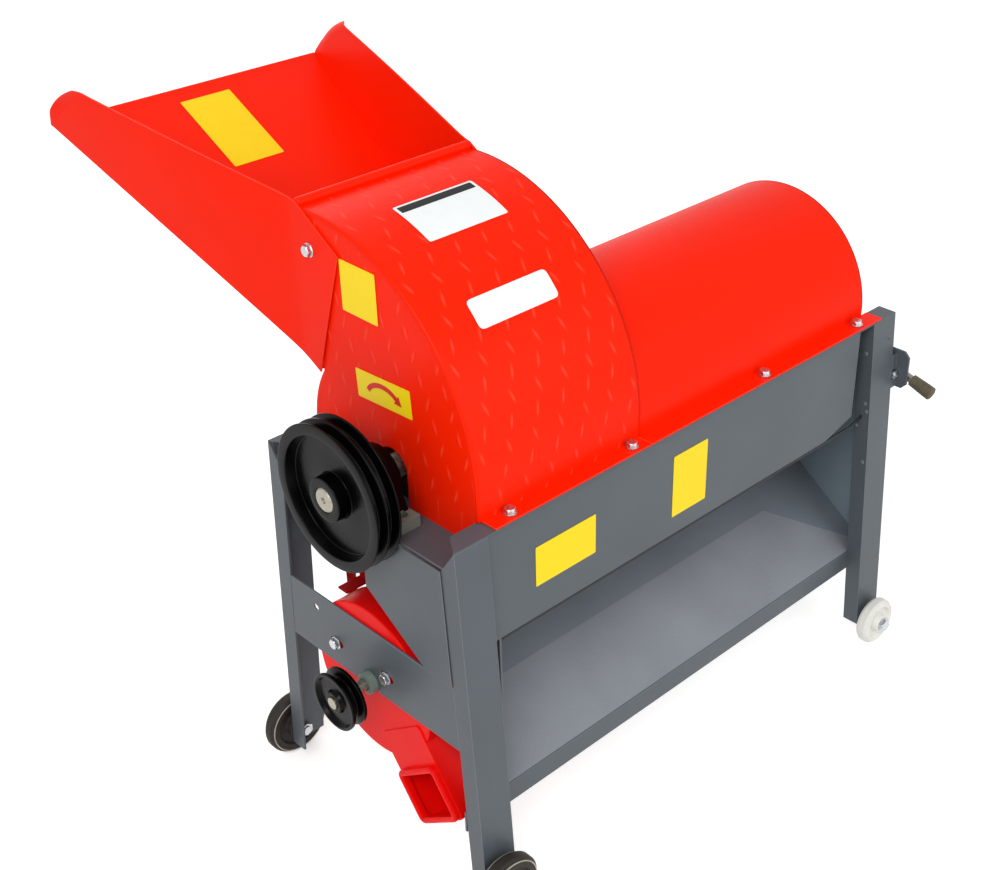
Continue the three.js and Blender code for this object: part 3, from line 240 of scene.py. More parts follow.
def dressed(node, name, materials, radius=0.8, smooth=32, trim_x=None):
    """A CAD node's shape with its doubles merged, its flat faces joined and its edges rounded,
    standing for that node on its own body. What lies before trim_x along X is cut away."""
    mesh = bpy.data.meshes.new(name)
    work = bmesh.new()
    work.from_mesh(frame["nodes"][node].data)
    bmesh.ops.remove_doubles(work, verts=work.verts, dist=merge_gap * mm)
    bmesh.ops.dissolve_limit(work, angle_limit=np.radians(flat_degrees), verts=work.verts, edges=work.edges)
    if trim_x is not None:
        cut = bmesh.ops.bisect_plane(work, geom=work.verts[:] + work.edges[:] + work.faces[:],
                                     plane_co=(trim_x * mm + origin[0], 0, 0), plane_no=(-1, 0, 0),
                                     clear_outer=True)
        rim = [item for item in cut["geom_cut"] if isinstance(item, bmesh.types.BMEdge)]
        bmesh.ops.edgeloop_fill(work, edges=rim)
    for face in work.faces:
        face.smooth = True
        face.material_index = 0
    work.to_mesh(mesh)
    work.free()
    for attribute in ("custom_normal", "sharp_edge", "sharp_face"):
        if attribute in mesh.attributes:
            mesh.attributes.remove(mesh.attributes[attribute])
    for material in materials:
        mesh.materials.append(material)
    piece = bpy.data.objects.new(name, mesh)
    bpy.context.collection.objects.link(piece)
    mesh.set_sharp_from_angle(angle=np.radians(smooth))
    if radius:
        bevelled(piece, radius, edge_material=len(materials) - 1)
    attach(piece, body_of(node))
    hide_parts(node)
    return piece


# The second grey is lighter and goes on the rounded edges as their last material: a painted highlight along
# the edges.
grey = [enamel("grey_machine_enamel", "#52595F", 0.42), enamel("grey_enamel_painted_edge_highlight", "#70777F", 0.36)]
for place in ("near_front", "near_rear", "far_front", "far_rear"):
    dressed(f"{place}_leg", f"{place}_bent_angle", grey, radius=1.4)


# Frame sheets. Side rails with their panels, the two folded end sheets and the slotted cross rail:
# guillotined 2 and 3 mm sheet, folded, spot welded and sprayed grey.
for node, radius in (("front_side_sheet", 0.9), ("rear_side_sheet", 0.9), ("near_cross_rail", 0.9),
                     ("lower_front_rail", 1.0)):
    dressed(node, f"{node}_folded", grey, radius=radius)


def quads(rows, columns, loop_rows=False, loop_columns=False):
    """Corner numbers of a grid's four-sided faces; a looped side joins its last line to its first."""
    r = np.arange(rows if loop_rows else rows - 1)[:, None]
    c = np.arange(columns if loop_columns else columns - 1)[None, :]
    below = (r + 1) % rows
    beside = (c + 1) % columns
    faces = np.stack([r * columns + c, r * columns + beside, below * columns + beside,
                      below * columns + c], -1)
    return faces.reshape(-1, 4)


def put(name, parts, materials, body, replaced=(), closed=True, wall=0, smooth=32, marks=None):
    """One mesh object from parts, each an array of millimetre points and an array of corner
    numbers. Doubles are merged; a closed one has its normals turned out, an open one keeps its
    own and gets its wall thickness behind it. Marks are kept as the mark attribute of the points."""
    starts = np.cumsum([0] + [len(points) for points, _ in parts[:-1]])
    points = np.concatenate([part[0] for part in parts]) * mm + origin
    faces = []
    for (_, corners), start in zip(parts, starts):
        faces += (np.asarray(corners) + start).tolist()
    mesh = bpy.data.meshes.new(name)
    mesh.from_pydata(points.tolist(), [], faces)
    if marks is not None:
        mesh.attributes.new("mark", "FLOAT", "POINT").data.foreach_set("value", marks.ravel())
    work = bmesh.new()
    work.from_mesh(mesh)
    bmesh.ops.remove_doubles(work, verts=work.verts, dist=merge_gap * mm)
    bmesh.ops.dissolve_degenerate(work, edges=work.edges, dist=sliver_gap * mm)
    if closed:
        bmesh.ops.recalc_face_normals(work, faces=work.faces)
    for face in work.faces:
        face.smooth = True
    work.to_mesh(mesh)
    work.free()
    for material in materials:
        mesh.materials.append(material)
    piece = bpy.data.objects.new(name, mesh)
    bpy.context.collection.objects.link(piece)
    mesh.set_sharp_from_angle(angle=np.radians(smooth))
    if wall:
        leaf = piece.modifiers.new("sheet", "SOLIDIFY")
        leaf.thickness = wall * mm
        leaf.offset = -1
        leaf.use_even_offset = True
        piece.modifiers.new("even_shading", "WEIGHTED_NORMAL").keep_sharp = True
    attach(piece, body)
    if replaced:
        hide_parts(*replaced)
    return piece


def thin(name, parts, materials, wall, replaced=(), edge=0, marks=None):
    """A fixed piece of sheet: open faces with their wall behind them, and edges rounded by edge
    millimetres in the last of the materials."""
    piece = put(name, parts, materials, "frame", replaced, closed=False, wall=wall, marks=marks)
    return bevelled(piece, edge, edge_material=len(materials) - 1) if edge else piece


# End sheets. Each is a 3 mm sheet folded down from a bearing seat into an end panel that follows
# the tray; the far one has a round window for the cobs, and the near one an apron before it.
half_width = 169
lean_share = 0.061
seat_top = -34
seat_half = 145.8
seat_trim = 3.6
end_wall = 3
shaft_height = 11
window_radius = 146.3
window_top = -37.3
window_degrees = 74.7
tray_slope = 0.69
tray_foot = -268.3
rear_foot = -162.7
sheet_room = 3.3
least = 0.01


def span(node):
    """A CAD node's lowest and highest corners in millimetres, in the machine's own places."""
    low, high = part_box(node)
    return (np.array(low) - origin) / mm, (np.array(high) - origin) / mm


def with_x(yz, x):
    """Places in Y and Z joined to their X, which is one number or an array with one for each."""
    x = np.broadcast_to(np.asarray(x, float), yz.shape[:-1])
    return np.concatenate([x[..., None], yz], -1)


far_low, far_high = span("far_end_sheet")
dressed("near_end_sheet", "near_end_sheet_folded", grey, radius=1.2, trim_x=seat_trim)
turn = np.radians(np.linspace(-90 - window_degrees, -90 + window_degrees, 181))
rays = np.stack([np.cos(turn), np.sin(turn)], -1)
side_reach = (half_width - sheet_room - lean_share * shaft_height) / (
    np.abs(rays[:, 0]) + lean_share * rays[:, 1]).clip(least)
tray_reach = (shaft_height - tray_foot) / (tray_slope * rays[:, 0] - rays[:, 1]).clip(least)
foot_reach = (shaft_height - rear_foot) / -rays[:, 1]
lower_reach = np.where(rays[:, 0] > 0, np.maximum(tray_reach, foot_reach), tray_reach)
inner = np.maximum((window_top - shaft_height) / rays[:, 1], window_radius)
outer = np.maximum(np.minimum(side_reach, lower_reach), inner)
yz = np.array([0, shaft_height]) + np.stack([inner, outer])[..., None] * rays
bend = np.linspace(0, np.pi / 2, 7)
fold = np.stack([far_high[0] - sheet_room * (1 - np.sin(bend)), window_top + sheet_room * np.cos(bend)], -1)
seat_path = np.concatenate([[[far_low[0], seat_top]], fold])
seat = np.stack([np.repeat(seat_path[:, 0], 2), np.tile([-seat_half, seat_half], len(seat_path)),
                 np.repeat(seat_path[:, 1], 2)], -1)
# The far end panel's grey is lighter than the frame's: painted light on an inner face that lies in shade.
end_sheet_painted_light = enamel("end_sheet_enamel_painted_light", "#7C8B95", 0.42)
thin("far_end_panel", [(with_x(yz, far_high[0]).reshape(-1, 3), quads(2, len(turn))[:, ::-1])],
     [end_sheet_painted_light, grey[1]], end_wall, ["far_end_sheet"], edge=0.6)
thin("far_bearing_seat", [(seat, quads(len(seat_path), 2)[:, ::-1])], grey, end_wall, edge=0.6)

apron_x = 0.2
apron_wall = 2
apron_top = -35
apron_rear = -7
slant_top = -124.9
slant_foot = -110.2
apron_foot = -193.7
front_foot = -155.4
apron = np.array([[-seat_half, apron_top], [front_foot, apron_foot], [slant_foot, apron_foot],
                  [apron_rear, slant_top], [apron_rear, apron_top]])
thin("near_end_apron", [(with_x(apron, apron_x), np.arange(len(apron))[None])], grey,
     apron_wall, edge=0.6)


# Grain tray. One sloping 2 mm sheet with a shallow fold along it and a corner folded up at the cob
# end; its lower field is painted lighter as painted light, and the upper fields and the corner are
# painted darker as painted shade under the housing.
tray_low, tray_high = span("grain_tray")
notch_y = 153.1
notch_x = 769.7
tray_wall = 2
fold_y = -67
fold_x = 687
fold_dip = 4


def on_tray(x, y, dip=0):
    """A point of the tray's top: its height follows the slope from its rear edge, less a dip."""
    return [x, y, tray_high[2] + tray_slope * (y - tray_high[1]) - dip]


# Painted light and shade: the lower field's grey is lighter as if lit, the upper and corner fields' grey
# darker as if shaded.
tray_painted_light = enamel("tray_enamel_painted_light", "#888D94", 0.4, shade=0.1)
tray_painted_shade = enamel("tray_enamel_painted_shade", "#727A82", 0.46, shade=0.08)
x0, x1 = tray_low[0], tray_high[0]
fold_start = on_tray(x0, fold_y, fold_dip)
fold_end = on_tray(fold_x, fold_y, fold_dip)
lower_corner = on_tray(x1, tray_low[1])
rear_corner = on_tray(x1, notch_y)
fields = {
    "grain_slide_lower": ([on_tray(x0, tray_low[1]), lower_corner, fold_end, fold_start], tray_painted_light),
    "grain_slide_upper": ([fold_start, fold_end, rear_corner, on_tray(notch_x, notch_y),
                           on_tray(notch_x, tray_high[1]), on_tray(x0, tray_high[1])], tray_painted_shade),
    "grain_slide_corner": ([fold_end, lower_corner, rear_corner], tray_painted_shade)}
for name, (points, paint) in fields.items():
    thin(name, [(np.array(points), np.arange(len(points))[None])], [paint], tray_wall,
         ["grain_tray"])


# Spot welds. Shallow round dimples where the far end sheet and the leg's flange are welded.
pole = 0.01
weld_places = ((-161.1, -49.3), (-168.6, -126.6), (-172.2, -137.8), (-157.8, -165.1), (-175.5, -220.3))
weld_face = 769.9
weld_profile = [[pole, 0.3], [pole, -0.9], [1.4, -0.8], [2.6, -0.4], [3.2, 0.3]]


def turned(profile, centre, along, steps=96):
    """A body of revolution from a closed profile of [radius, distance] points: each is swung round
    the axis called along, through the centre. An end at the pole's radius closes there, because
    its points lie near enough to be merged."""
    radius, distance = np.asarray(profile, float).T
    angle = np.arange(steps) * 2 * np.pi / steps
    swung = [radius[:, None] * np.cos(angle), radius[:, None] * np.sin(angle)]
    reach = np.broadcast_to(distance[:, None], swung[0].shape)
    order = {"x": (reach, *swung), "y": (swung[0], reach, swung[1]), "z": (*swung, reach)}
    points = np.stack(order[along], -1).reshape(-1, 3) + centre
    return points, quads(len(radius), steps, True, True)


welds = [turned(weld_profile, (weld_face, y, z), "x", steps=20) for y, z in weld_places]
# The weld dimples are painted in the same lighter edge grey: a painted highlight.
put("spot_welds", welds, [grey[1]], "frame")


# Wheels. Small turned wheels with a proud hub: dark moulded rubber at the pulley end, white nylon
# at the cob end, each on a zinc-plated bolt through the leg.
dust_size = 14
grain_depth = 0.1
rub_size = 3
rub_values = (0.82, 1.12)


def moulded(name, colour, roughness, grain_size, bump, shade, level=0.4):
    """Moulded rubber or nylon: a fine moulding grain of the given size in millimetres, and a dusty
    drift of colour over the surface."""
    material, tree, out = blank_material(name)
    place = add(tree, "ShaderNodeTexCoord").outputs["Object"]
    dust = add(tree, "ShaderNodeTexNoise", Vector=place, Scale=1 / (dust_size * mm), Detail=4)
    grain = add(tree, "ShaderNodeTexNoise", Vector=place, Scale=1 / (grain_size * mm), Detail=2)
    value = add(tree, "ShaderNodeMapRange", _0=dust.outputs["Fac"], _1=noise_range[0], _2=noise_range[1],
                _3=1 - shade, _4=1 + shade)
    tint = add(tree, "ShaderNodeHueSaturation", Color=linear(colour), Value=value.outputs[0])
    rough = add(tree, "ShaderNodeBump", Strength=bump, Distance=grain_depth * mm, Height=grain.outputs["Fac"])
    skin = add(tree, "ShaderNodeBsdfPrincipled", Base_Color=tint.outputs["Color"], Roughness=roughness,
               Normal=rough.outputs["Normal"], Specular_IOR_Level=level)
    tree.links.new(skin.outputs[0], out.inputs["Surface"])
    return material


def metal(name, colour, roughness, scratch, streak=(1, 1, 1)):
    """Bare or plated steel: full metal, with gloss and brightness broken by fine worn streaks
    along the axis that streak stretches."""
    material, tree, out = blank_material(name)
    place = add(tree, "ShaderNodeTexCoord").outputs["Object"]
    drawn = add(tree, "ShaderNodeMapping", Vector=place, Scale=streak)
    rub = add(tree, "ShaderNodeTexNoise", Vector=drawn.outputs[0], Scale=1 / (rub_size * mm), Detail=4)
    value = add(tree, "ShaderNodeMapRange", _0=rub.outputs["Fac"], _1=noise_range[0], _2=noise_range[1],
                _3=rub_values[0], _4=rub_values[1])
    tint = add(tree, "ShaderNodeHueSaturation", Color=linear(colour), Value=value.outputs[0])
    gloss = add(tree, "ShaderNodeMapRange", _0=rub.outputs["Fac"], _1=noise_range[0], _2=noise_range[1],
                _3=roughness - scratch, _4=roughness + scratch)
    skin = add(tree, "ShaderNodeBsdfPrincipled", Base_Color=tint.outputs["Color"], Metallic=1,
               Roughness=gloss.outputs[0])
    tree.links.new(skin.outputs[0], out.inputs["Surface"])
    return material


def rounded(points, radius, steps=5, closed=True, side_share=0.48, straight=0.999, same=1e-6):
    """An outline with each corner swung round: a quadratic curve leaves each side one tangent
    length, radius over the tangent of half the corner's angle, before the corner. The tangent
    length stays within side_share of the shorter side, and an open outline keeps its two ends."""
    points = np.asarray(points, float)
    back = np.roll(points, 1, 0) - points
    ahead = np.roll(points, -1, 0) - points
    back_length = np.linalg.norm(back, axis=1)
    ahead_length = np.linalg.norm(ahead, axis=1)
    back /= back_length[:, None]
    ahead /= ahead_length[:, None]
    cosine = np.clip((back * ahead).sum(1), -1, straight)
    tangent = np.broadcast_to(radius, len(points)) * np.sqrt((1 + cosine) / (1 - cosine))
    tangent = np.minimum(tangent, side_share * np.minimum(back_length, ahead_length))
    if not closed:
        tangent[[0, -1]] = 0
    s = np.linspace(0, 1, steps + 1)[None, :, None]
    first = (points + back * tangent[:, None])[:, None]
    last = (points + ahead * tangent[:, None])[:, None]
    curve = (1 - s) ** 2 * first + 2 * s * (1 - s) * points[:, None] + s ** 2 * last
    curve = curve.reshape(-1, points.shape[1])
    keep = np.r_[True, np.linalg.norm(np.diff(curve, axis=0), axis=1) > same]
    return curve[keep]


def mirrored(half):
    """A closed profile from its half at positive distances: the same at negative ones, and back."""
    half = np.asarray(half, float)
    return np.concatenate([half * (1, -1), half[::-1]])


def aimed(points, place, axis):
    """Points drawn round +Z, turned so that +Z lies along the axis, and moved to their place."""
    lean = np.array(Vector((0, 0, 1)).rotation_difference(Vector(axis)).to_matrix())
    return points @ lean.T + np.asarray(place, float)


washer_wall = 1.6
washer_edge = 0.4
shank_edge = 0.8
shank_sunk = 1
flat_share = 0.72
chamfer_shares = ((1.06, 0.9), (0.96, 1))
crown_share = 1.02
nut_crown_share = 1.01


def bolt(place, axis, radius=4, head=7.5, height=5.5, washer=8.5, grip=5, tail=8, nut=6.5, steps=48):
    """A hexagon bolt with a washer and a nut. Round the axis the head's radius is that of a
    hexagon, its flats at the apothem, and near its top the lesser of that and a chamfer cone."""
    angle = np.arange(steps) * 2 * np.pi / steps
    apothem = head * np.cos(np.pi / 6)
    hexagon = apothem / np.cos((angle + np.pi / 6) % (np.pi / 3) - np.pi / 6)
    chamfer = [(apothem * r, washer_wall + height * h) for r, h in chamfer_shares]
    head_levels = [(pole, washer_wall), (head, washer_wall), (head, washer_wall + height * flat_share),
                   *chamfer, (pole, washer_wall + height * crown_share)]
    nut_levels = [(pole, -grip), (head, -grip), (head, -grip - nut), (pole, -grip - nut * nut_crown_share)]
    parts = []
    for levels in (head_levels, nut_levels):
        ring = np.stack([np.minimum(hexagon, limit) for limit, _ in levels])
        z = np.broadcast_to(np.array([level for _, level in levels])[:, None], ring.shape)
        parts.append((np.stack([ring * np.cos(angle), ring * np.sin(angle), z], -1).reshape(-1, 3),
                      quads(len(levels), steps, False, True)))
    plain = rounded([[pole, 0], [washer, 0], [washer, washer_wall], [pole, washer_wall]], washer_edge,
                    steps=3)
    tip = -grip - tail
    shank = rounded([[pole, shank_sunk], [radius, shank_sunk], [radius, tip], [pole, tip]], shank_edge,
                    steps=3)
    parts += [turned(part, (0, 0, 0), "z", steps) for part in (plain, shank)]
    return [(aimed(points, place, axis), faces) for points, faces in parts]


zinc = metal("zinc_plated_steel", "#C9CCD0", 0.3, scratch=0.08)
rubber = moulded("moulded_tyre_rubber", "#2C2724", 0.6, grain_size=1.2, bump=0.4, shade=0.25, level=0.25)
nylon = moulded("white_nylon", "#E9E8E2", 0.42, grain_size=2.0, bump=0.2, shade=0.05)
cream = moulded("cream_mould_line", "#B9B09A", 0.6, grain_size=1.0, bump=0.3, shade=0.2)
axle_bore = 6.3
hub_share = 0.36
dish_share = 0.66
hub_proud = 5
draft = 2
wheel_edge = 2.2
tread_edge = 4
line_edge = 0.3
line_inset = 5.5
line_sunk = 0.6
line_proud = 0.5
head_room = 7.1
tail_room = 8.5
for place, tyre, paint in (("near_front", rubber, "dark_wheel"), ("near_rear", rubber, "dark_wheel"),
                           ("far_front", nylon, "white_nylon"), ("far_rear", nylon, "white_nylon")):
    node = f"{place}_wheel"
    low, high = span(node)
    centre = (low + high) / 2
    radius = (high[2] - low[2]) / 2
    half = (high[1] - low[1]) / 2
    rim = half - hub_proud
    hub = radius * hub_share
    dish = radius * dish_share
    profile = mirrored([[axle_bore, half], [hub, half], [hub + draft, rim / 2], [dish, rim / 2],
                        [dish + draft, rim], [radius - tread_edge, rim], [radius, rim / 2]])
    put(f"{place}_roller", [turned(rounded(profile, wheel_edge, steps=6), centre, "y")], [tyre],
        body_of(node), [node])
    if tyre == rubber:
        line = [[radius - line_inset, rim - line_sunk], [radius - line_inset, rim + line_proud],
                [radius - tread_edge, rim + line_proud], [radius - tread_edge, rim - line_sunk]]
        line = rounded(line, line_edge, steps=2)
        for face, side in (("inner", -1), ("outer", 1)):
            put(f"{place}_mould_line_{face}", [turned(line * (1, side), centre, "y")], [cream],
                body_of(node))
    low, high = span(f"{place}_axle_bolt")
    side = -1 if "front" in place else 1
    head_face = low[1] + head_room if side < 0 else high[1] - head_room
    reach = high[1] - low[1] - head_room - tail_room
    axle = bolt((centre[0], head_face, centre[2]), (0, side, 0), radius=6, head=10, washer=11, grip=reach,
                tail=tail_room)
    put(f"{place}_axle", axle, [zinc], "frame", [f"{place}_axle_bolt"])


# Edging. A narrow black strip on the front panel's lower edge, up to its cut corner: a painted shadow,
# standing for the shade under that edge.
panel_face = -165.7
panel_foot = -153.6
edging_wall = 2
edging_proud = 0.2
edging_drop = 4
edging_start = 70.5
corner_start = 743
corner_end = (803, -136.6)
edging_line = np.array([[edging_start, panel_foot], [corner_start, panel_foot], corner_end])
edging = np.stack([edging_line, edging_line - (0, edging_drop)], 1)
edging = np.insert(edging, 1, panel_face - edging_proud, axis=2).reshape(-1, 3)
# Painted shadow: this near-black strip takes the place of the shadow under the panel's edge.
painted_shadow_strip = moulded("painted_shadow_strip", "#17191B", 0.6, grain_size=1.2, bump=0.2, shade=0.1)
thin("front_panel_painted_shadow_strip", [(edging, quads(3, 2))], [painted_shadow_strip], edging_wall)


# Rotor, concave and cob trough. Bare mild steel that the cobs keep bright: a tube on a ground
# shaft with a screw flight and four toothed bars, over an arched grate of welded round bars.
steel = metal("cob_worn_mild_steel", "#8F8D88", 0.38, scratch=0.1, streak=(0.2, 1, 1))
turned_steel = metal("turned_shaft_steel", "#A9A497", 0.42, scratch=0.1)
for node in ("beater_bar_1", "beater_bar_2", "beater_bar_3", "beater_bar_4", "concave", "cob_trough"):
    paint = "grey_paint" if node == "cob_trough" else "bare_steel"
    dressed(node, f"{node}_dressed", [steel], radius=0.5)
for node in ("rotor_drum", "feed_auger"):
    dressed(node, f"{node}_dressed", [steel], radius=0)
shaft_radius = 15
shaft_chamfer = 1.6
drill_radius = 4
drill_neck = 1.5
drill_cone = 4.5
drill_depth = 7
low, high = span("rotor_shaft")
shaft_end = np.array([[pole, drill_depth], [drill_radius - drill_neck, drill_cone], [drill_radius, 0],
                      [shaft_radius - shaft_chamfer, 0], [shaft_radius, shaft_chamfer]])
shaft_profile = np.concatenate([shaft_end + (0, low[0]), (shaft_end * (1, -1) + (0, high[0]))[::-1]])
put("rotor_shaft_turned", [turned(shaft_profile, (0, 0, shaft_height), "x", steps=64)], [turned_steel],
    "rotor", ["rotor_shaft"], smooth=25)


# Bearings. A cast-iron pillow block with a grey-green foot stands on each seat, and its round
# body and the insert bearing locked to the shaft in its bore are black.
cast = enamel("sprayed_cast_iron", "#77857C", 0.5, peel=1.0, shade=0.2)
black = enamel("gloss_black_enamel", "#030304", 0.22, peel=0.15, shade=0.3, level=0.1)
foot_top = -16
block_edge = 1.5
insert_bore = 15.3
collar_radius = 19.5
race_radius = 24
race_half = 12
race_edge = 0.8
for place in ("near", "far"):
    block = dressed(f"{place}_bearing_block", f"{place}_pillow_block", [cast, black], radius=0)
    bevelled(block, block_edge, edge_material=-1)
    heights = np.array([face.center.z for face in block.data.polygons])
    upper = (heights - origin[2]) / mm > foot_top
    block.data.polygons.foreach_set("material_index", upper.astype(np.int32))
    node = f"{place}_bearing_insert"
    low, high = span(node)
    reach = (high[0] - low[0]) / 2
    profile = rounded(mirrored([[insert_bore, reach], [collar_radius, reach], [collar_radius, race_half],
                                [race_radius, race_half]]), race_edge, steps=3)
    put(f"{place}_insert_ring", [turned(profile, ((low[0] + high[0]) / 2, 0, (low[2] + high[2]) / 2), "x")],
        [black], body_of(node), [node])


# Drive pulley. A cast two-groove V pulley, dished with a thin web, turned on its rim and dipped in
# gloss black, keyed to the shaft's end.
def v_pulley(radius, width, rim, hub, bore, web, hub_out, grooves, depth, groove=13, floor_width=6,
             land=3.5, draft=3, fillet=2, edge=1.3):
    """A V pulley's outline from its outer face inwards, as [radius, distance] points with its
    grooves cut in the rim and every edge broken."""
    web_start = (width - web) / 2
    web_end = web_start + web
    slant = (groove - floor_width) / 2
    outline = [[bore, -hub_out], [hub, -hub_out], [hub + fillet, web_start], [rim, web_start],
               [rim + draft, 0], [radius, 0]]
    for index in range(grooves):
        x = (width - grooves * groove - (grooves - 1) * land) / 2 + index * (groove + land)
        outline += [[radius, x], [radius - depth, x + slant], [radius - depth, x + groove - slant],
                    [radius, x + groove]]
    outline += [[radius, width], [rim + draft, width], [rim, web_end], [hub + fillet, web_end],
                [hub, width + hub_out], [bore, width + hub_out]]
    return rounded(outline, edge, steps=4)


low, high = span("main_pulley")
hub_out = 3
outline = v_pulley(radius=91, width=34, rim=74, hub=27, bore=insert_bore, web=7, hub_out=hub_out, grooves=2,
                   depth=11)
put("two_groove_pulley", [turned(outline, (low[0] + hub_out, 0, shaft_height), "x", steps=160)], [black],
    body_of("main_pulley"), ["main_pulley"])


# Feed housing. Tread-patterned sheet rolled over the auger, welded to a flat near plate and a far
# ring, with a rolled bead along its ridge; sprayed bright red over the raised marks.
red_colour = "#FF2200"
red = enamel("red_machine_enamel", red_colour, 0.4, peel=0.6, shade=0.03, level=0.08)
# A lighter red on the rounded edges: a painted highlight along them.
red_painted_edge_highlight = enamel("red_enamel_painted_edge_highlight", "#FF4430", 0.34, peel=0.3, level=0.14)
# Painted highlight: on the raised tread marks this red is mixed towards a lighter red as a painted glint.
red_tread = enamel("red_enamel_painted_glint_on_tread", red_colour, 0.4, peel=0.6, shade=0.03, level=0.08,
                   marks="#FF6A50", painted_glint_share=0.36)
mark_peak = 0.45


def tread(u, v, length=24, width=5, height=mark_peak, across=40, down=25.5, lean=17):
    """The rise of a tread pattern's marks at u across and v along the sheet: pointed lenses on a
    staggered lattice whose lean changes sides from row to row. In a mark the rise falls with the
    square of the distance from its middle line, and to nothing at its tips."""
    row = np.round(v / down)
    shift = row * across / 4
    column = np.round((u - shift) / across)
    du = u - shift - column * across
    dv = v - row * down
    slant = np.radians(lean) * np.where(row % 2 == 0, 1, -1)
    along = (dv * np.cos(slant) + du * np.sin(slant)) / (length / 2)
    beside = (du * np.cos(slant) - dv * np.sin(slant)) / (width / 2)
    taper = np.clip(1 - along ** 2, 0.0001, 1)
    return height * np.sqrt(taper) * np.clip(1 - (beside / taper) ** 2, 0, 1)


housing_x = (57, 316)
wrap_radius = 266
wrap_centre = np.array([119, 25])
bead_centre = np.array([143, 294.1])
bead = 6
corner = 5
wall = 2
flange_top = 2.3
foot_gap = 0.3
tread_step = 1.65
edge_fade = 3
far_plain = 1
ridge_fade = 6
plate_fade = 4
bead_meets = np.radians(219)
bead_ends = np.radians(-110)
ridge_y = bead_centre[0] + bead * np.cos(bead_meets)
ridge_angle = np.arccos((ridge_y - wrap_centre[0]) / wrap_radius)
front_y = wrap_centre[0] - wrap_radius


def wrap_path(step):
    """Points and outward normals up the rolled sheet in Y and Z: straight up from the flange, then
    an arc of the wrap's radius to the ridge."""
    rise = wrap_centre[1] - foot_gap
    straight = np.linspace(0, rise, max(int(rise / step), 2))[:-1]
    lower = np.stack([np.full(len(straight), front_y), foot_gap + straight], -1)
    sweep = np.linspace(np.pi, ridge_angle, int((np.pi - ridge_angle) * wrap_radius / step) + 1)
    outward = np.stack([np.cos(sweep), np.sin(sweep)], -1)
    points = np.concatenate([lower, wrap_centre + wrap_radius * outward])
    normals = np.concatenate([np.tile([-1.0, 0.0], (len(straight), 1)), outward])
    return points, normals


path_points, path_normals = wrap_path(tread_step)
path_length = np.r_[0, np.cumsum(np.linalg.norm(np.diff(path_points, axis=0), axis=1))]
bead_turn = np.linspace(bead_meets, bead_ends, 30)
bead_normals = np.stack([np.cos(bead_turn), np.sin(bead_turn)], -1)
corner_turn = np.linspace(np.pi / 2, 0, 7)[:-1]
corner_x = housing_x[0] + corner * (1 - np.sin(corner_turn))
x_line = np.linspace(*housing_x, int((housing_x[1] - housing_x[0]) / tread_step) + 1)
x_line = np.r_[corner_x, x_line[x_line > housing_x[0] + corner]]
inset = np.r_[corner * (1 - np.cos(corner_turn)), np.zeros(len(x_line) - len(corner_x))]
near_fade = np.clip((x_line - housing_x[0] - corner) / edge_fade, 0, 1)
far_fade = np.clip((housing_x[1] - far_plain - x_line) / edge_fade, 0, 1)
end_fade = np.clip((path_length[-1] - path_length) / ridge_fade, 0, 1)
rise = tread(x_line[None, :], path_length[:, None]) * (near_fade * far_fade)[None, :] * end_fade[:, None]
lift = rise - inset[None, :]
body_points = path_points[:, None] + path_normals[:, None] * lift[..., None]
bead_points = bead_centre + (bead - inset[None, :, None]) * bead_normals[:, None]
sheet_yz = np.concatenate([body_points, bead_points])
# The squared rise becomes the mark attribute, which the tread paint turns into its painted glint.
wrap_marks = np.concatenate([(rise / mark_peak) ** 2, np.zeros(bead_points.shape[:2])])
thin("housing_wrap", [(with_x(sheet_yz, x_line).reshape(-1, 3), quads(len(sheet_yz), len(x_line)))],
     [red_tread], wall, ["feed_housing"], marks=wrap_marks)

cover_radius = 144
drop_slot = 25
hopper_foot = np.array([120.5, 93])
hopper_angle = np.arctan2(hopper_foot[1] - shaft_height, hopper_foot[0])
slot_row = np.searchsorted(path_points[:-1, 1], shaft_height + drop_slot)
plate_front = path_points - path_normals * corner
levels = plate_front[:slot_row + 1, 1]
rear_radius = cover_radius - wall
rear_low = np.sqrt(rear_radius ** 2 - (levels - shaft_height) ** 2)
rear_turn = np.linspace(np.arcsin((levels[-1] - shaft_height) / rear_radius), hopper_angle, 40)
rear_arc = np.stack([rear_radius * np.cos(rear_turn), shaft_height + rear_radius * np.sin(rear_turn)], -1)
rear_line = np.concatenate([rear_arc, plate_front[-1:]])
rear_length = np.r_[0, np.cumsum(np.linalg.norm(np.diff(rear_line, axis=0), axis=1))]
share = (path_length[slot_row:] - path_length[slot_row]) / (path_length[-1] - path_length[slot_row])
rear_high = np.stack([np.interp(share * rear_length[-1], rear_length, rear_line[:, k]) for k in (0, 1)], -1)
plate_rear = np.concatenate([np.stack([rear_low[:-1], levels[:-1]], -1), rear_high])
above_shaft = plate_front[:slot_row, 1] - shaft_height
round_top = np.sqrt(np.clip(drop_slot ** 2 - above_shaft ** 2, 0, None))
slot_half = np.zeros(len(plate_front))
slot_half[:slot_row] = np.where(above_shaft < 0, drop_slot, round_top)
middle_share = -plate_front[slot_row, 0] / (plate_rear[slot_row, 0] - plate_front[slot_row, 0])
middle = plate_front + (plate_rear - plate_front) * middle_share
middle[:slot_row, 0] = 0
slot_edge = np.stack([slot_half, 0 * slot_half], -1)


def ruled(first, last, count):
    """A grid of straight lines from each point of one edge to its partner on the other."""
    t = np.linspace(0, 1, count)[None, :, None]
    return first[:, None] * (1 - t) + last[:, None] * t


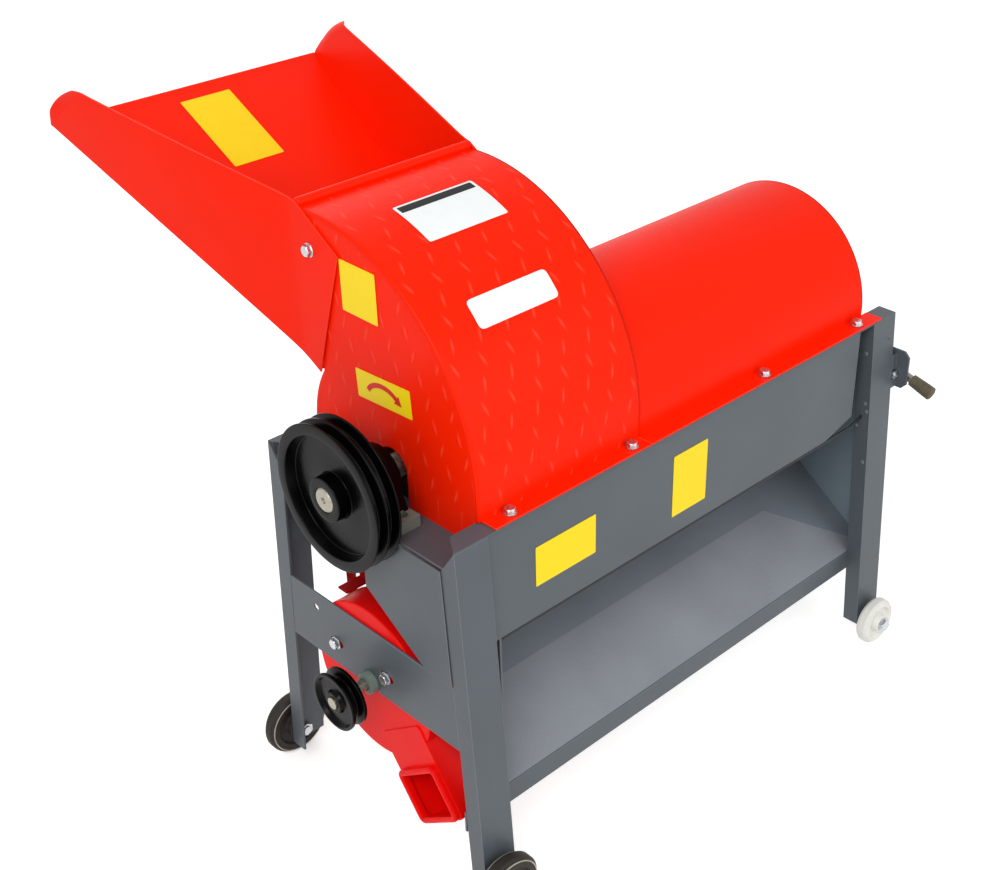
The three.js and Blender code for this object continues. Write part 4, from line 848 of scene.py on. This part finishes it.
skirt = 140.7
plate_shift = 6
sides = []
plate_marks = []
for first, last, columns in ((plate_front, middle - slot_edge, 90), (middle + slot_edge, plate_rear, 86)):
    yz = ruled(first, last, columns)
    from_edge = np.linalg.norm(yz - first[:, None], axis=-1)
    shown = np.clip(from_edge / plate_fade, 0, 1) if first is plate_front else 1
    rise = tread(yz[..., 0], yz[..., 1] + plate_shift) * shown
    foot_row = np.stack([yz[0, :, 0].clip(-skirt, skirt), np.full(columns, seat_top + foot_gap)], -1)
    yz = np.concatenate([foot_row[None], yz])
    rise = np.concatenate([np.zeros((1, columns)), rise])
    sides.append((with_x(yz, housing_x[0] - rise).reshape(-1, 3), quads(len(yz), columns)[:, ::-1]))
    plate_marks.append((rise / mark_peak).ravel() ** 2)
thin("housing_near_plate", sides, [red_tread], wall, marks=np.concatenate(plate_marks))


def ring_plate(x, inner, outline, steps=160):
    """A flat ring between a circle round the shaft and an outline round it: along each ray from
    the shaft the outline's distance is read between its own points. Under the shaft's level the
    circle opens downwards as a slot of the same half width."""
    turn = np.arctan2(outline[:, 1] - shaft_height, outline[:, 0])
    turn = np.where(turn < -np.pi / 2, turn + 2 * np.pi, turn)
    order = np.argsort(turn)
    reach = np.hypot(outline[:, 0], outline[:, 1] - shaft_height)
    angle = np.linspace(turn.min(), turn.max(), steps)
    outer = np.interp(angle, turn[order], reach[order])
    rays = np.stack([np.cos(angle), np.sin(angle)], -1)
    opened = np.where(np.sin(angle) < 0, inner / np.abs(np.cos(angle)).clip(least), inner)
    rows = np.stack([np.minimum(opened, outer), outer])
    yz = rows[..., None] * rays[None] + np.array([0, shaft_height])
    return with_x(yz, x).reshape(-1, 3), quads(2, steps)


def pulled(path, x0, x1, columns=2):
    """A profile in Y and Z pulled straight along X from one plane to another."""
    yz = np.broadcast_to(path[:, None], (len(path), columns, 2))
    return with_x(yz, np.linspace(x0, x1, columns)).reshape(-1, 3), quads(len(path), columns)


ring_lap = 4
wall_turn = np.linspace(-np.arcsin((shaft_height - foot_gap) / cover_radius), hopper_angle, 30)
rear_yz = np.stack([cover_radius * np.cos(wall_turn), shaft_height + cover_radius * np.sin(wall_turn)], -1)
outline = np.concatenate([path_points, rear_yz])
thin("housing_far_ring", [ring_plate(housing_x[1], cover_radius - ring_lap, outline)], [red],
     wall)
thin("housing_rear_wall", [pulled(rear_yz[::-1], *housing_x)], [red, red_painted_edge_highlight], wall, edge=0.5)


# Drum cover. One plain sheet rolled into a half round with a flange folded along each side and a
# flat plate welded across its far end, bolted down on the side rails.
cover_x = (316.3, 771)
end_gap = 0.01
side_gap = 0.4
flange_start = 62
flange_end = 787
flange_lap = 1.5
foot_turn = np.arcsin((shaft_height - flange_top) / cover_radius)
cover_turn = np.linspace(-foot_turn, np.pi + foot_turn, 121)
roll = np.stack([cover_radius * np.cos(cover_turn), shaft_height + cover_radius * np.sin(cover_turn)], -1)
thin("drum_cover_roll", [pulled(roll[::-1], *cover_x, columns=24)], [red, red_painted_edge_highlight], wall,
     ["drum_cover"], edge=0.5)
foot_y = np.linspace(drop_slot, skirt, 24)
foot_line = np.stack([foot_y, np.full(len(foot_y), seat_top + foot_gap)], -1)
side_line = np.array([[skirt, seat_top + foot_gap], [cover_radius - side_gap, flange_top]])
rear_half = np.concatenate([foot_line[:-1], side_line])
outline = np.concatenate([rear_half, roll[1:-1], rear_half[::-1] * (-1, 1)])
thin("drum_cover_end", [ring_plate(cover_x[1] + end_gap, drop_slot, outline, steps=240)], [red],
     wall)


def flange(side, x0, x1, inner):
    """A flat strip along a side rail, from the rail's edge to the foot of the housing or cover."""
    y = np.array([half_width, inner - flange_lap]) * side
    points = np.array([[x0, y[0], flange_top], [x1, y[0], flange_top], [x1, y[1], flange_top],
                       [x0, y[1], flange_top]])
    return points, np.array([[0, 1, 2, 3]])[:, ::-side]


strips = [flange(-1, flange_start, housing_x[1], -front_y), flange(-1, cover_x[0], flange_end, cover_radius),
          flange(1, flange_start, housing_x[1], cover_radius), flange(1, cover_x[0], flange_end, cover_radius)]
thin("cover_flanges", strips, [red, red_painted_edge_highlight], wall, edge=0.5)


# Hopper. A flat sloping floor between two walls that lap over the housing, flare apart, round over
# at their outer ends and curl outwards there; folded from plain sheet and sprayed red.
hopper_middle = 186.5
hopper_half = 129.8
hopper_fold = 152
floor_start = 122.5
hopper_lip = np.array([545, 308])
lip_half = 202
nose_control = np.array([523, 345.5])
nose_top = np.array([472.5, 363.6])
ridge_top = np.array([141, 298.1])
lap_tip = np.array([68, 252.5])
floor_slope = (hopper_lip[1] - hopper_foot[1]) / (hopper_lip[0] - hopper_foot[0])
floor_drop = wall * np.hypot(1, floor_slope)
wall_slope = (nose_top[1] - ridge_top[1]) / (nose_top[0] - ridge_top[0])
top_lean = 9
soft_bend = 14
curl_radius = 22
curl_reach = 15
curl_fade = 30
lap_spring = 2.5
spring_fade = 150
fine_from = 0.93
off_wall = 500
lip_roll = 3
lip_lead = 4


def floor_z(y):
    """The hopper floor's height: a straight slope from its foot on the cover to its outer lip."""
    return hopper_foot[1] + floor_slope * (y - hopper_foot[0])


def half_at(y):
    """Half the hopper's inside width: constant over the lap, then widening evenly to the lip, with
    a soft bend of a hyperbola's shape between the two."""
    past = y - hopper_fold
    soft = (past + np.sqrt(past ** 2 + soft_bend ** 2)) / 2
    return hopper_half + (lip_half - hopper_half) / (hopper_lip[0] - hopper_fold) * soft


t = np.linspace(0, 1, 13)[:, None]
lip_foot = hopper_lip - (0, floor_drop)
nose = (1 - t) ** 2 * lip_foot + 2 * t * (1 - t) * nose_control + t ** 2 * nose_top
lap_foot = hopper_foot - (0, floor_drop)
lap_front = np.concatenate([np.linspace(lap_foot, lap_tip, 9), np.linspace(lap_tip, ridge_top, 5)[1:]])
fold_foot = floor_z(hopper_fold) - floor_drop
fold_top = ridge_top[1] + wall_slope * (hopper_fold - ridge_top[0])
fold_line = np.stack([np.full(len(nose), hopper_fold), np.linspace(fold_foot, fold_top, len(nose))], -1)
lap_yz = ruled(lap_front, fold_line, 12)[:, :-1]
wall_share = np.r_[np.linspace(0, fine_from, 30), np.linspace(fine_from, 1, 16)[1:]][None, :, None]
wall_yz = fold_line[:, None] * (1 - wall_share) + nose[:, None] * wall_share
yz = np.concatenate([lap_yz, wall_yz], 1)
y, z = yz[..., 0], yz[..., 1]
lean = top_lean * np.maximum(y - hopper_fold, 0) / (nose_top[0] - hopper_fold)
lean = lean * np.maximum(z - floor_z(y), 0) / (nose_top[1] - floor_z(nose_top[0]))
off_nose = np.linalg.norm(nose[:, None] - wall_yz, axis=-1)
to_end = np.concatenate([np.full(lap_yz.shape[:2], float(off_wall)), off_nose], 1)
into_curl = np.clip(curl_reach - to_end, 0, None)
curl = curl_radius - np.sqrt(curl_radius ** 2 - into_curl ** 2)
curl = curl * np.clip((z - floor_z(y)) / curl_fade, 0, 1)
on_lap = np.clip((hopper_fold - y) / (hopper_fold - lap_tip[0]), 0, 1)
spring = lap_spring * on_lap * np.clip((ridge_top[1] - z) / spring_fade, 0, 1)
outside = half_at(y) + wall + lean + curl + spring
for place, side in (("near", -1), ("far", 1)):
    points = with_x(yz, hopper_middle + side * outside).reshape(-1, 3)
    thin(f"hopper_{place}_wall", [(points, quads(*y.shape)[:, ::side])], [red, red_painted_edge_highlight], wall,
         ["hopper"], edge=0.6)
slope_angle = np.arctan(floor_slope)
lip_turn = np.linspace(np.pi / 2 + slope_angle, -np.pi / 3, 9)
lip_curve = hopper_lip - (0, lip_roll) + lip_roll * np.stack([np.cos(lip_turn), np.sin(lip_turn)], -1)
floor_y = np.linspace(floor_start, hopper_lip[0] - lip_lead, 40)
floor_line = np.concatenate([np.stack([floor_y, floor_z(floor_y)], -1), lip_curve])
across = np.linspace(-1, 1, 15)
half = half_at(np.minimum(floor_line[:, 0], hopper_lip[0]))
floor_yz = np.broadcast_to(floor_line[:, None], (len(floor_line), len(across), 2))
points = with_x(floor_yz, hopper_middle + half[:, None] * across).reshape(-1, 3)
thin("hopper_floor", [(points, quads(len(floor_line), len(across)))], [red, red_painted_edge_highlight], wall,
     ["hopper"], edge=0.5)


# Blank plates. Thin vinyl with round corners and nothing printed but a plain dark bar and one
# curved arrow for the way the shaft turns, stuck on the housing, the hopper and the front panel.
vinyl_wall = 0.3
print_wall = 0.15
outline_step = 3
plate_rings = 9
flat_lift = 0.5
tread_lift = 0.9


def vinyl(name, surface, material, width, height, radius, wall=vinyl_wall, tilt=0):
    """A plate of round-cornered outline: rings of it shrink to its middle, and surface turns its
    across and along places into points."""
    corners = np.array([[-1, -1], [1, -1], [1, 1], [-1, 1]]) * (width / 2, height / 2)
    outline = rounded(corners, radius, steps=4)
    turn = np.radians(tilt)
    outline = outline @ np.array([[np.cos(turn), np.sin(turn)], [-np.sin(turn), np.cos(turn)]])
    loop = np.concatenate([outline, outline[:1]])
    length = np.r_[0, np.cumsum(np.linalg.norm(np.diff(loop, axis=0), axis=1))]
    even = np.union1d(length[:-1], np.arange(0, length[-1], outline_step))
    outline = np.stack([np.interp(even, length, loop[:, k]) for k in (0, 1)], -1)
    uv = np.linspace(0, 1, plate_rings)[:, None, None] * outline[None]
    points = surface(uv[..., 0], uv[..., 1]).reshape(-1, 3)
    thin(name, [(points, quads(plate_rings, len(outline), False, True)[:, ::-1])], [material],
         wall)


def on_wrap(x, angle, lift=tread_lift):
    """The rolled sheet near x and the angle in degrees: across runs along X, along runs uphill."""
    def surface(u, v):
        turn = np.radians(angle) - v / wrap_radius
        out = np.stack([np.cos(turn), np.sin(turn)], -1)
        return with_x(wrap_centre + (wrap_radius + lift) * out, x + u)
    return surface


def on_near_plate(y, z, lift=tread_lift):
    """The near plate: across runs away from the hopper and along runs up."""
    return lambda u, v: with_x(np.stack([y - u, z + v], -1), housing_x[0] - lift)


def on_hopper_floor(x, y, lift=flat_lift):
    """The hopper's floor: across runs along X and along runs up the slope."""
    def surface(u, v):
        along = y + v * np.cos(slope_angle)
        yz = np.stack([along - lift * np.sin(slope_angle), floor_z(along) + lift * np.cos(slope_angle)], -1)
        return with_x(yz, x + u)
    return surface


def on_front_panel(x, z, lift=flat_lift):
    """The front panel: across runs along X and along runs up."""
    return lambda u, v: np.stack([x + u, np.full(u.shape, panel_face - lift), z + v], -1)


def plate_vinyl(name, colour):
    """Printed vinyl: a faintly mottled sheet with a soft gloss."""
    return moulded(name, colour, 0.35, grain_size=3.0, bump=0.1, shade=0.012, level=0.2)


yellow = plate_vinyl("yellow_vinyl", "#FFDD08")
pale = plate_vinyl("white_vinyl", "#F2F6F6")
dark = plate_vinyl("black_vinyl", "#141516")
arrow_red = plate_vinyl("red_vinyl", "#E0201C")
print_lift = 1.1
arrow_lift = 1.15
arrow_place = (6.3, 105.8)
vinyl("hopper_plate", on_hopper_floor(x=192.5, y=466.5), yellow, width=76, height=127, radius=2)
vinyl("housing_top_plate", on_wrap(x=193, angle=108.3), pale, width=118, height=67, radius=3)
vinyl("housing_top_bar", on_wrap(x=193, angle=102.9, lift=print_lift), dark, width=110, height=11,
      radius=1, wall=print_wall)
vinyl("housing_front_plate", on_wrap(x=183, angle=136.8), pale, width=120, height=36, radius=7)
vinyl("near_side_plate", on_near_plate(y=38, z=220), yellow, width=62, height=62, radius=2)
vinyl("arrow_plate", on_near_plate(*arrow_place), yellow, width=96, height=36, radius=2, tilt=3.3)
vinyl("front_panel_plate_1", on_front_panel(x=173.5, z=-82.7), yellow, width=99, height=55, radius=2)
vinyl("front_panel_plate_2", on_front_panel(x=393, z=-82), yellow, width=64, height=89, radius=2)

arrow_degrees = (158, 42)
arrow_radius = 30
arrow_flat = 0.72
arrow_drop = 14
arrow_width = 3.2
head_width = 2.3 * arrow_width
head_length = 11
turn = np.radians(np.linspace(*arrow_degrees, 20))
middle = np.stack([arrow_radius * np.cos(turn), arrow_radius * arrow_flat * np.sin(turn) - arrow_drop], -1)
way = np.gradient(middle, axis=0)
way /= np.linalg.norm(way, axis=1)[:, None]
beside = np.stack([-way[:, 1], way[:, 0]], -1)
band = np.stack([middle + arrow_width * beside, middle - arrow_width * beside], 1)
head = middle[-1] + np.stack([head_width * beside[-1], -head_width * beside[-1], head_length * way[-1]])
on_plate = on_near_plate(*arrow_place, arrow_lift)
arrow = [(on_plate(band[..., 0], band[..., 1]).reshape(-1, 3), quads(len(band), 2)),
         (on_plate(head[:, 0], head[:, 1]), np.array([[0, 1, 2]]))]
thin("turn_arrow", arrow, [arrow_red], print_wall)


# Cover and hopper bolts. Zinc-plated M8 hexagon bolts with plain washers, nutted below.
for index in (1, 2, 3, 4):
    for side in ("front", "rear"):
        node = f"{side}_cover_bolt_{index}"
        low, high = span(node)
        face = ((low[0] + high[0]) / 2, (low[1] + high[1]) / 2, flange_top + foot_gap)
        put(f"{side}_cover_hex_{index}", bolt(face, (0, 0, 1)), [zinc], "frame", [node])
for place, side in (("near", -1), ("far", 1)):
    node = f"{place}_hopper_bolt"
    low, high = span(node)
    face_x = low[0] + head_room if side < 0 else high[0] - head_room
    middle = (low + high) / 2
    put(f"{place}_hopper_hex", bolt((face_x, middle[1], middle[2]), (side, 0, 0)), [zinc],
        "frame", [node])


# Chaff fan. A round sheet case with a square spout, a bladed wheel on a short shaft, and a small
# black pulley, hung on two straps, bolted through the rail's slots and sprayed a deeper red; the
# straps and the bladed wheel are painted a dark red as painted shade, for the shade under the tray.
fan_red = enamel("fan_red_enamel", "#F20C08", 0.34, peel=0.4, shade=0.06, level=0.08)
# Painted shade: the straps' dark red stands for the shade they hang in.
strap_painted_shade_red = enamel("strap_red_enamel_painted_shade", "#B01012", 0.36, peel=0.4, shade=0.08, level=0.15)
fan_y = 4
fan_z = -278
fan_x = (3.3, 47.3)
fan_radius = 108
shaft_bore = 10.5
inlet = 44
case_round = 2.5
case_steps = 120
duct_round = 5
duct_turn = 0.6435
duct_width = (-34, 54)
duct_start = 70
duct_end = 195
mouth_start = 122
mouth_rim = 6
rim_round = 7
rim_half_width = 4.2
rim_half_height = 3
rim_sunk = 1
rim_proud = 7
rim_steps = 16


def in_duct(along, across):
    """Places in Y and Z of the duct's own lengths: along its flow, down to the front, and across."""
    flow = np.array([-np.sin(duct_turn), -np.cos(duct_turn)])
    side = np.array([-np.cos(duct_turn), np.sin(duct_turn)])
    return np.array([fan_y, fan_z]) + np.multiply.outer(along, flow) + np.multiply.outer(across, side)


def duct_box(start, end, edge=0):
    """The four corners of a rectangle in the duct's plane, its sides drawn in by edge."""
    inner = duct_width[0] + edge
    outer = duct_width[1] - edge
    start += edge
    end -= edge
    return np.stack([in_duct(a, c) for a, c in ((start, inner), (end, inner), (end, outer), (start, outer))])


case_profile = rounded([[shaft_bore, fan_x[0]], [fan_radius, fan_x[0]], [fan_radius, fan_x[1]],
                        [inlet, fan_x[1]]], case_round, closed=False)
radius, distance = case_profile.T
angle = np.arange(case_steps) * 2 * np.pi / case_steps
case_yz = np.stack([fan_y + radius[:, None] * np.cos(angle), fan_z + radius[:, None] * np.sin(angle)], -1)
case = with_x(case_yz, distance[:, None]).reshape(-1, 3)
thin("fan_case_shell", [(case, quads(len(radius), case_steps, False, True))], [fan_red], wall,
     ["fan_housing"])
outer = rounded(duct_box(duct_start, duct_end), duct_round)
mouth = rounded(duct_box(mouth_start, duct_end, mouth_rim), duct_round)
centre = outer.mean(0)
rings = [with_x(mouth, fan_x[0]), with_x(outer, fan_x[0]), with_x(outer, fan_x[1]),
         with_x((outer + centre) / 2, fan_x[1]), with_x(0 * outer + centre, fan_x[1])]
thin("fan_spout", [(np.concatenate(rings), quads(len(rings), len(outer), False, True))], [fan_red],
     wall, edge=1.6)
rim_middle = rounded(duct_box(mouth_start, duct_end, mouth_rim / 2), rim_round, steps=8)
rim_way = np.roll(rim_middle, -1, 0) - np.roll(rim_middle, 1, 0)
rim_side = np.stack([rim_way[:, 1], -rim_way[:, 0]], -1) / np.linalg.norm(rim_way, axis=1)[:, None]
rim_side *= np.sign((rim_side * (rim_middle - rim_middle.mean(0))).sum(1))[:, None]
section = np.arange(rim_steps) * 2 * np.pi / rim_steps
rim_yz = rim_middle[:, None] + rim_half_width * np.cos(section)[None, :, None] * rim_side[:, None]
rim_x = np.where(np.sin(section) > 0, fan_x[0] - rim_sunk, fan_x[0] - rim_proud)
rim_x = rim_x + rim_half_height * np.sin(section)
rim_quads = quads(len(rim_middle), rim_steps, True, True)
put("fan_spout_rim", [(with_x(rim_yz, rim_x).reshape(-1, 3), rim_quads)], [fan_red], "frame")
dressed("fan_impeller", "fan_impeller_dressed", [strap_painted_shade_red], radius=0.4)
for node in ("fan_hanger_1", "fan_hanger_2"):
    dressed(node, f"{node}_strap", [strap_painted_shade_red], radius=0.6)
dressed("fan_shaft", "fan_spindle", [turned_steel], radius=0)
dressed("fan_bearing", "fan_bearing_cap", [cast], radius=0.5)
low, high = span("fan_pulley")
centre = (low + high) / 2
outline = v_pulley(radius=39, width=22, rim=32, hub=14, bore=8.3, web=12, hub_out=0, grooves=1, depth=9)
put("fan_drive_pulley", [turned(outline, (low[0], centre[1], centre[2]), "x")], [black],
    body_of("fan_pulley"), ["fan_pulley"])
for index in (1, 2):
    node = f"fan_bolt_{index}"
    low, high = span(node)
    middle = (low + high) / 2
    stud = bolt((-foot_gap, middle[1], middle[2]), (-1, 0, 0), grip=6.2, tail=2, nut=2)
    put(f"fan_stud_{index}", stud, [zinc], "frame", [node])


# Cob gate. A flat steel flap over the trough's mouth on one pivot bolt, lifted by a round rod with
# a ribbed rubber grip.
dressed("gate_bracket", "gate_bracket_folded", grey, radius=0.9)
dressed("cob_gate", "cob_flap", [steel], radius=0.6)
grip = moulded("ribbed_grip_rubber", "#5A5240", 0.7, grain_size=0.8, bump=0.5, shade=0.2)
lever_droop = 0.3
lever_x = 840.5
rod_bore = 6.2
grip_start = 24
grip_swell = 50
grip_tip = 58
grip_wall = 1
grip_radii = (8.3, 9.4)
rib_pitch = 4.2
rib_height = 0.5
tip_round = 2.5
low, high = span("gate_pivot_bolt")
pivot = (low + high) / 2
grip_reach = np.linspace(grip_start, grip_tip, 110)
grip_radius = np.interp(grip_reach, [grip_start, grip_swell], grip_radii)
grip_radius = grip_radius + rib_height * np.abs(np.sin(np.pi * grip_reach / rib_pitch))
end_turn = np.linspace(0, np.pi / 2, 8)[1:]
grip_end = np.stack([grip_radius[-1] * np.cos(end_turn), grip_tip + tip_round * np.sin(end_turn)], -1)
grip_end[-1, 0] = pole
bore_end = grip_tip - grip_wall
grip_profile = np.concatenate([[[rod_bore, grip_start]], np.stack([grip_radius, grip_reach], -1), grip_end,
                               [[pole, bore_end], [rod_bore, bore_end]]])
points, corners = turned(grip_profile, (0, 0, 0), "z", steps=48)
points = aimed(points, (lever_x, pivot[1], pivot[2]), (0, -1, -lever_droop))
put("lever_grip", [(points, corners)], [grip], "gate", ["gate_grip"], smooth=50)
dressed("gate_pivot_bolt", "gate_pivot_hex", [zinc], radius=0.4)
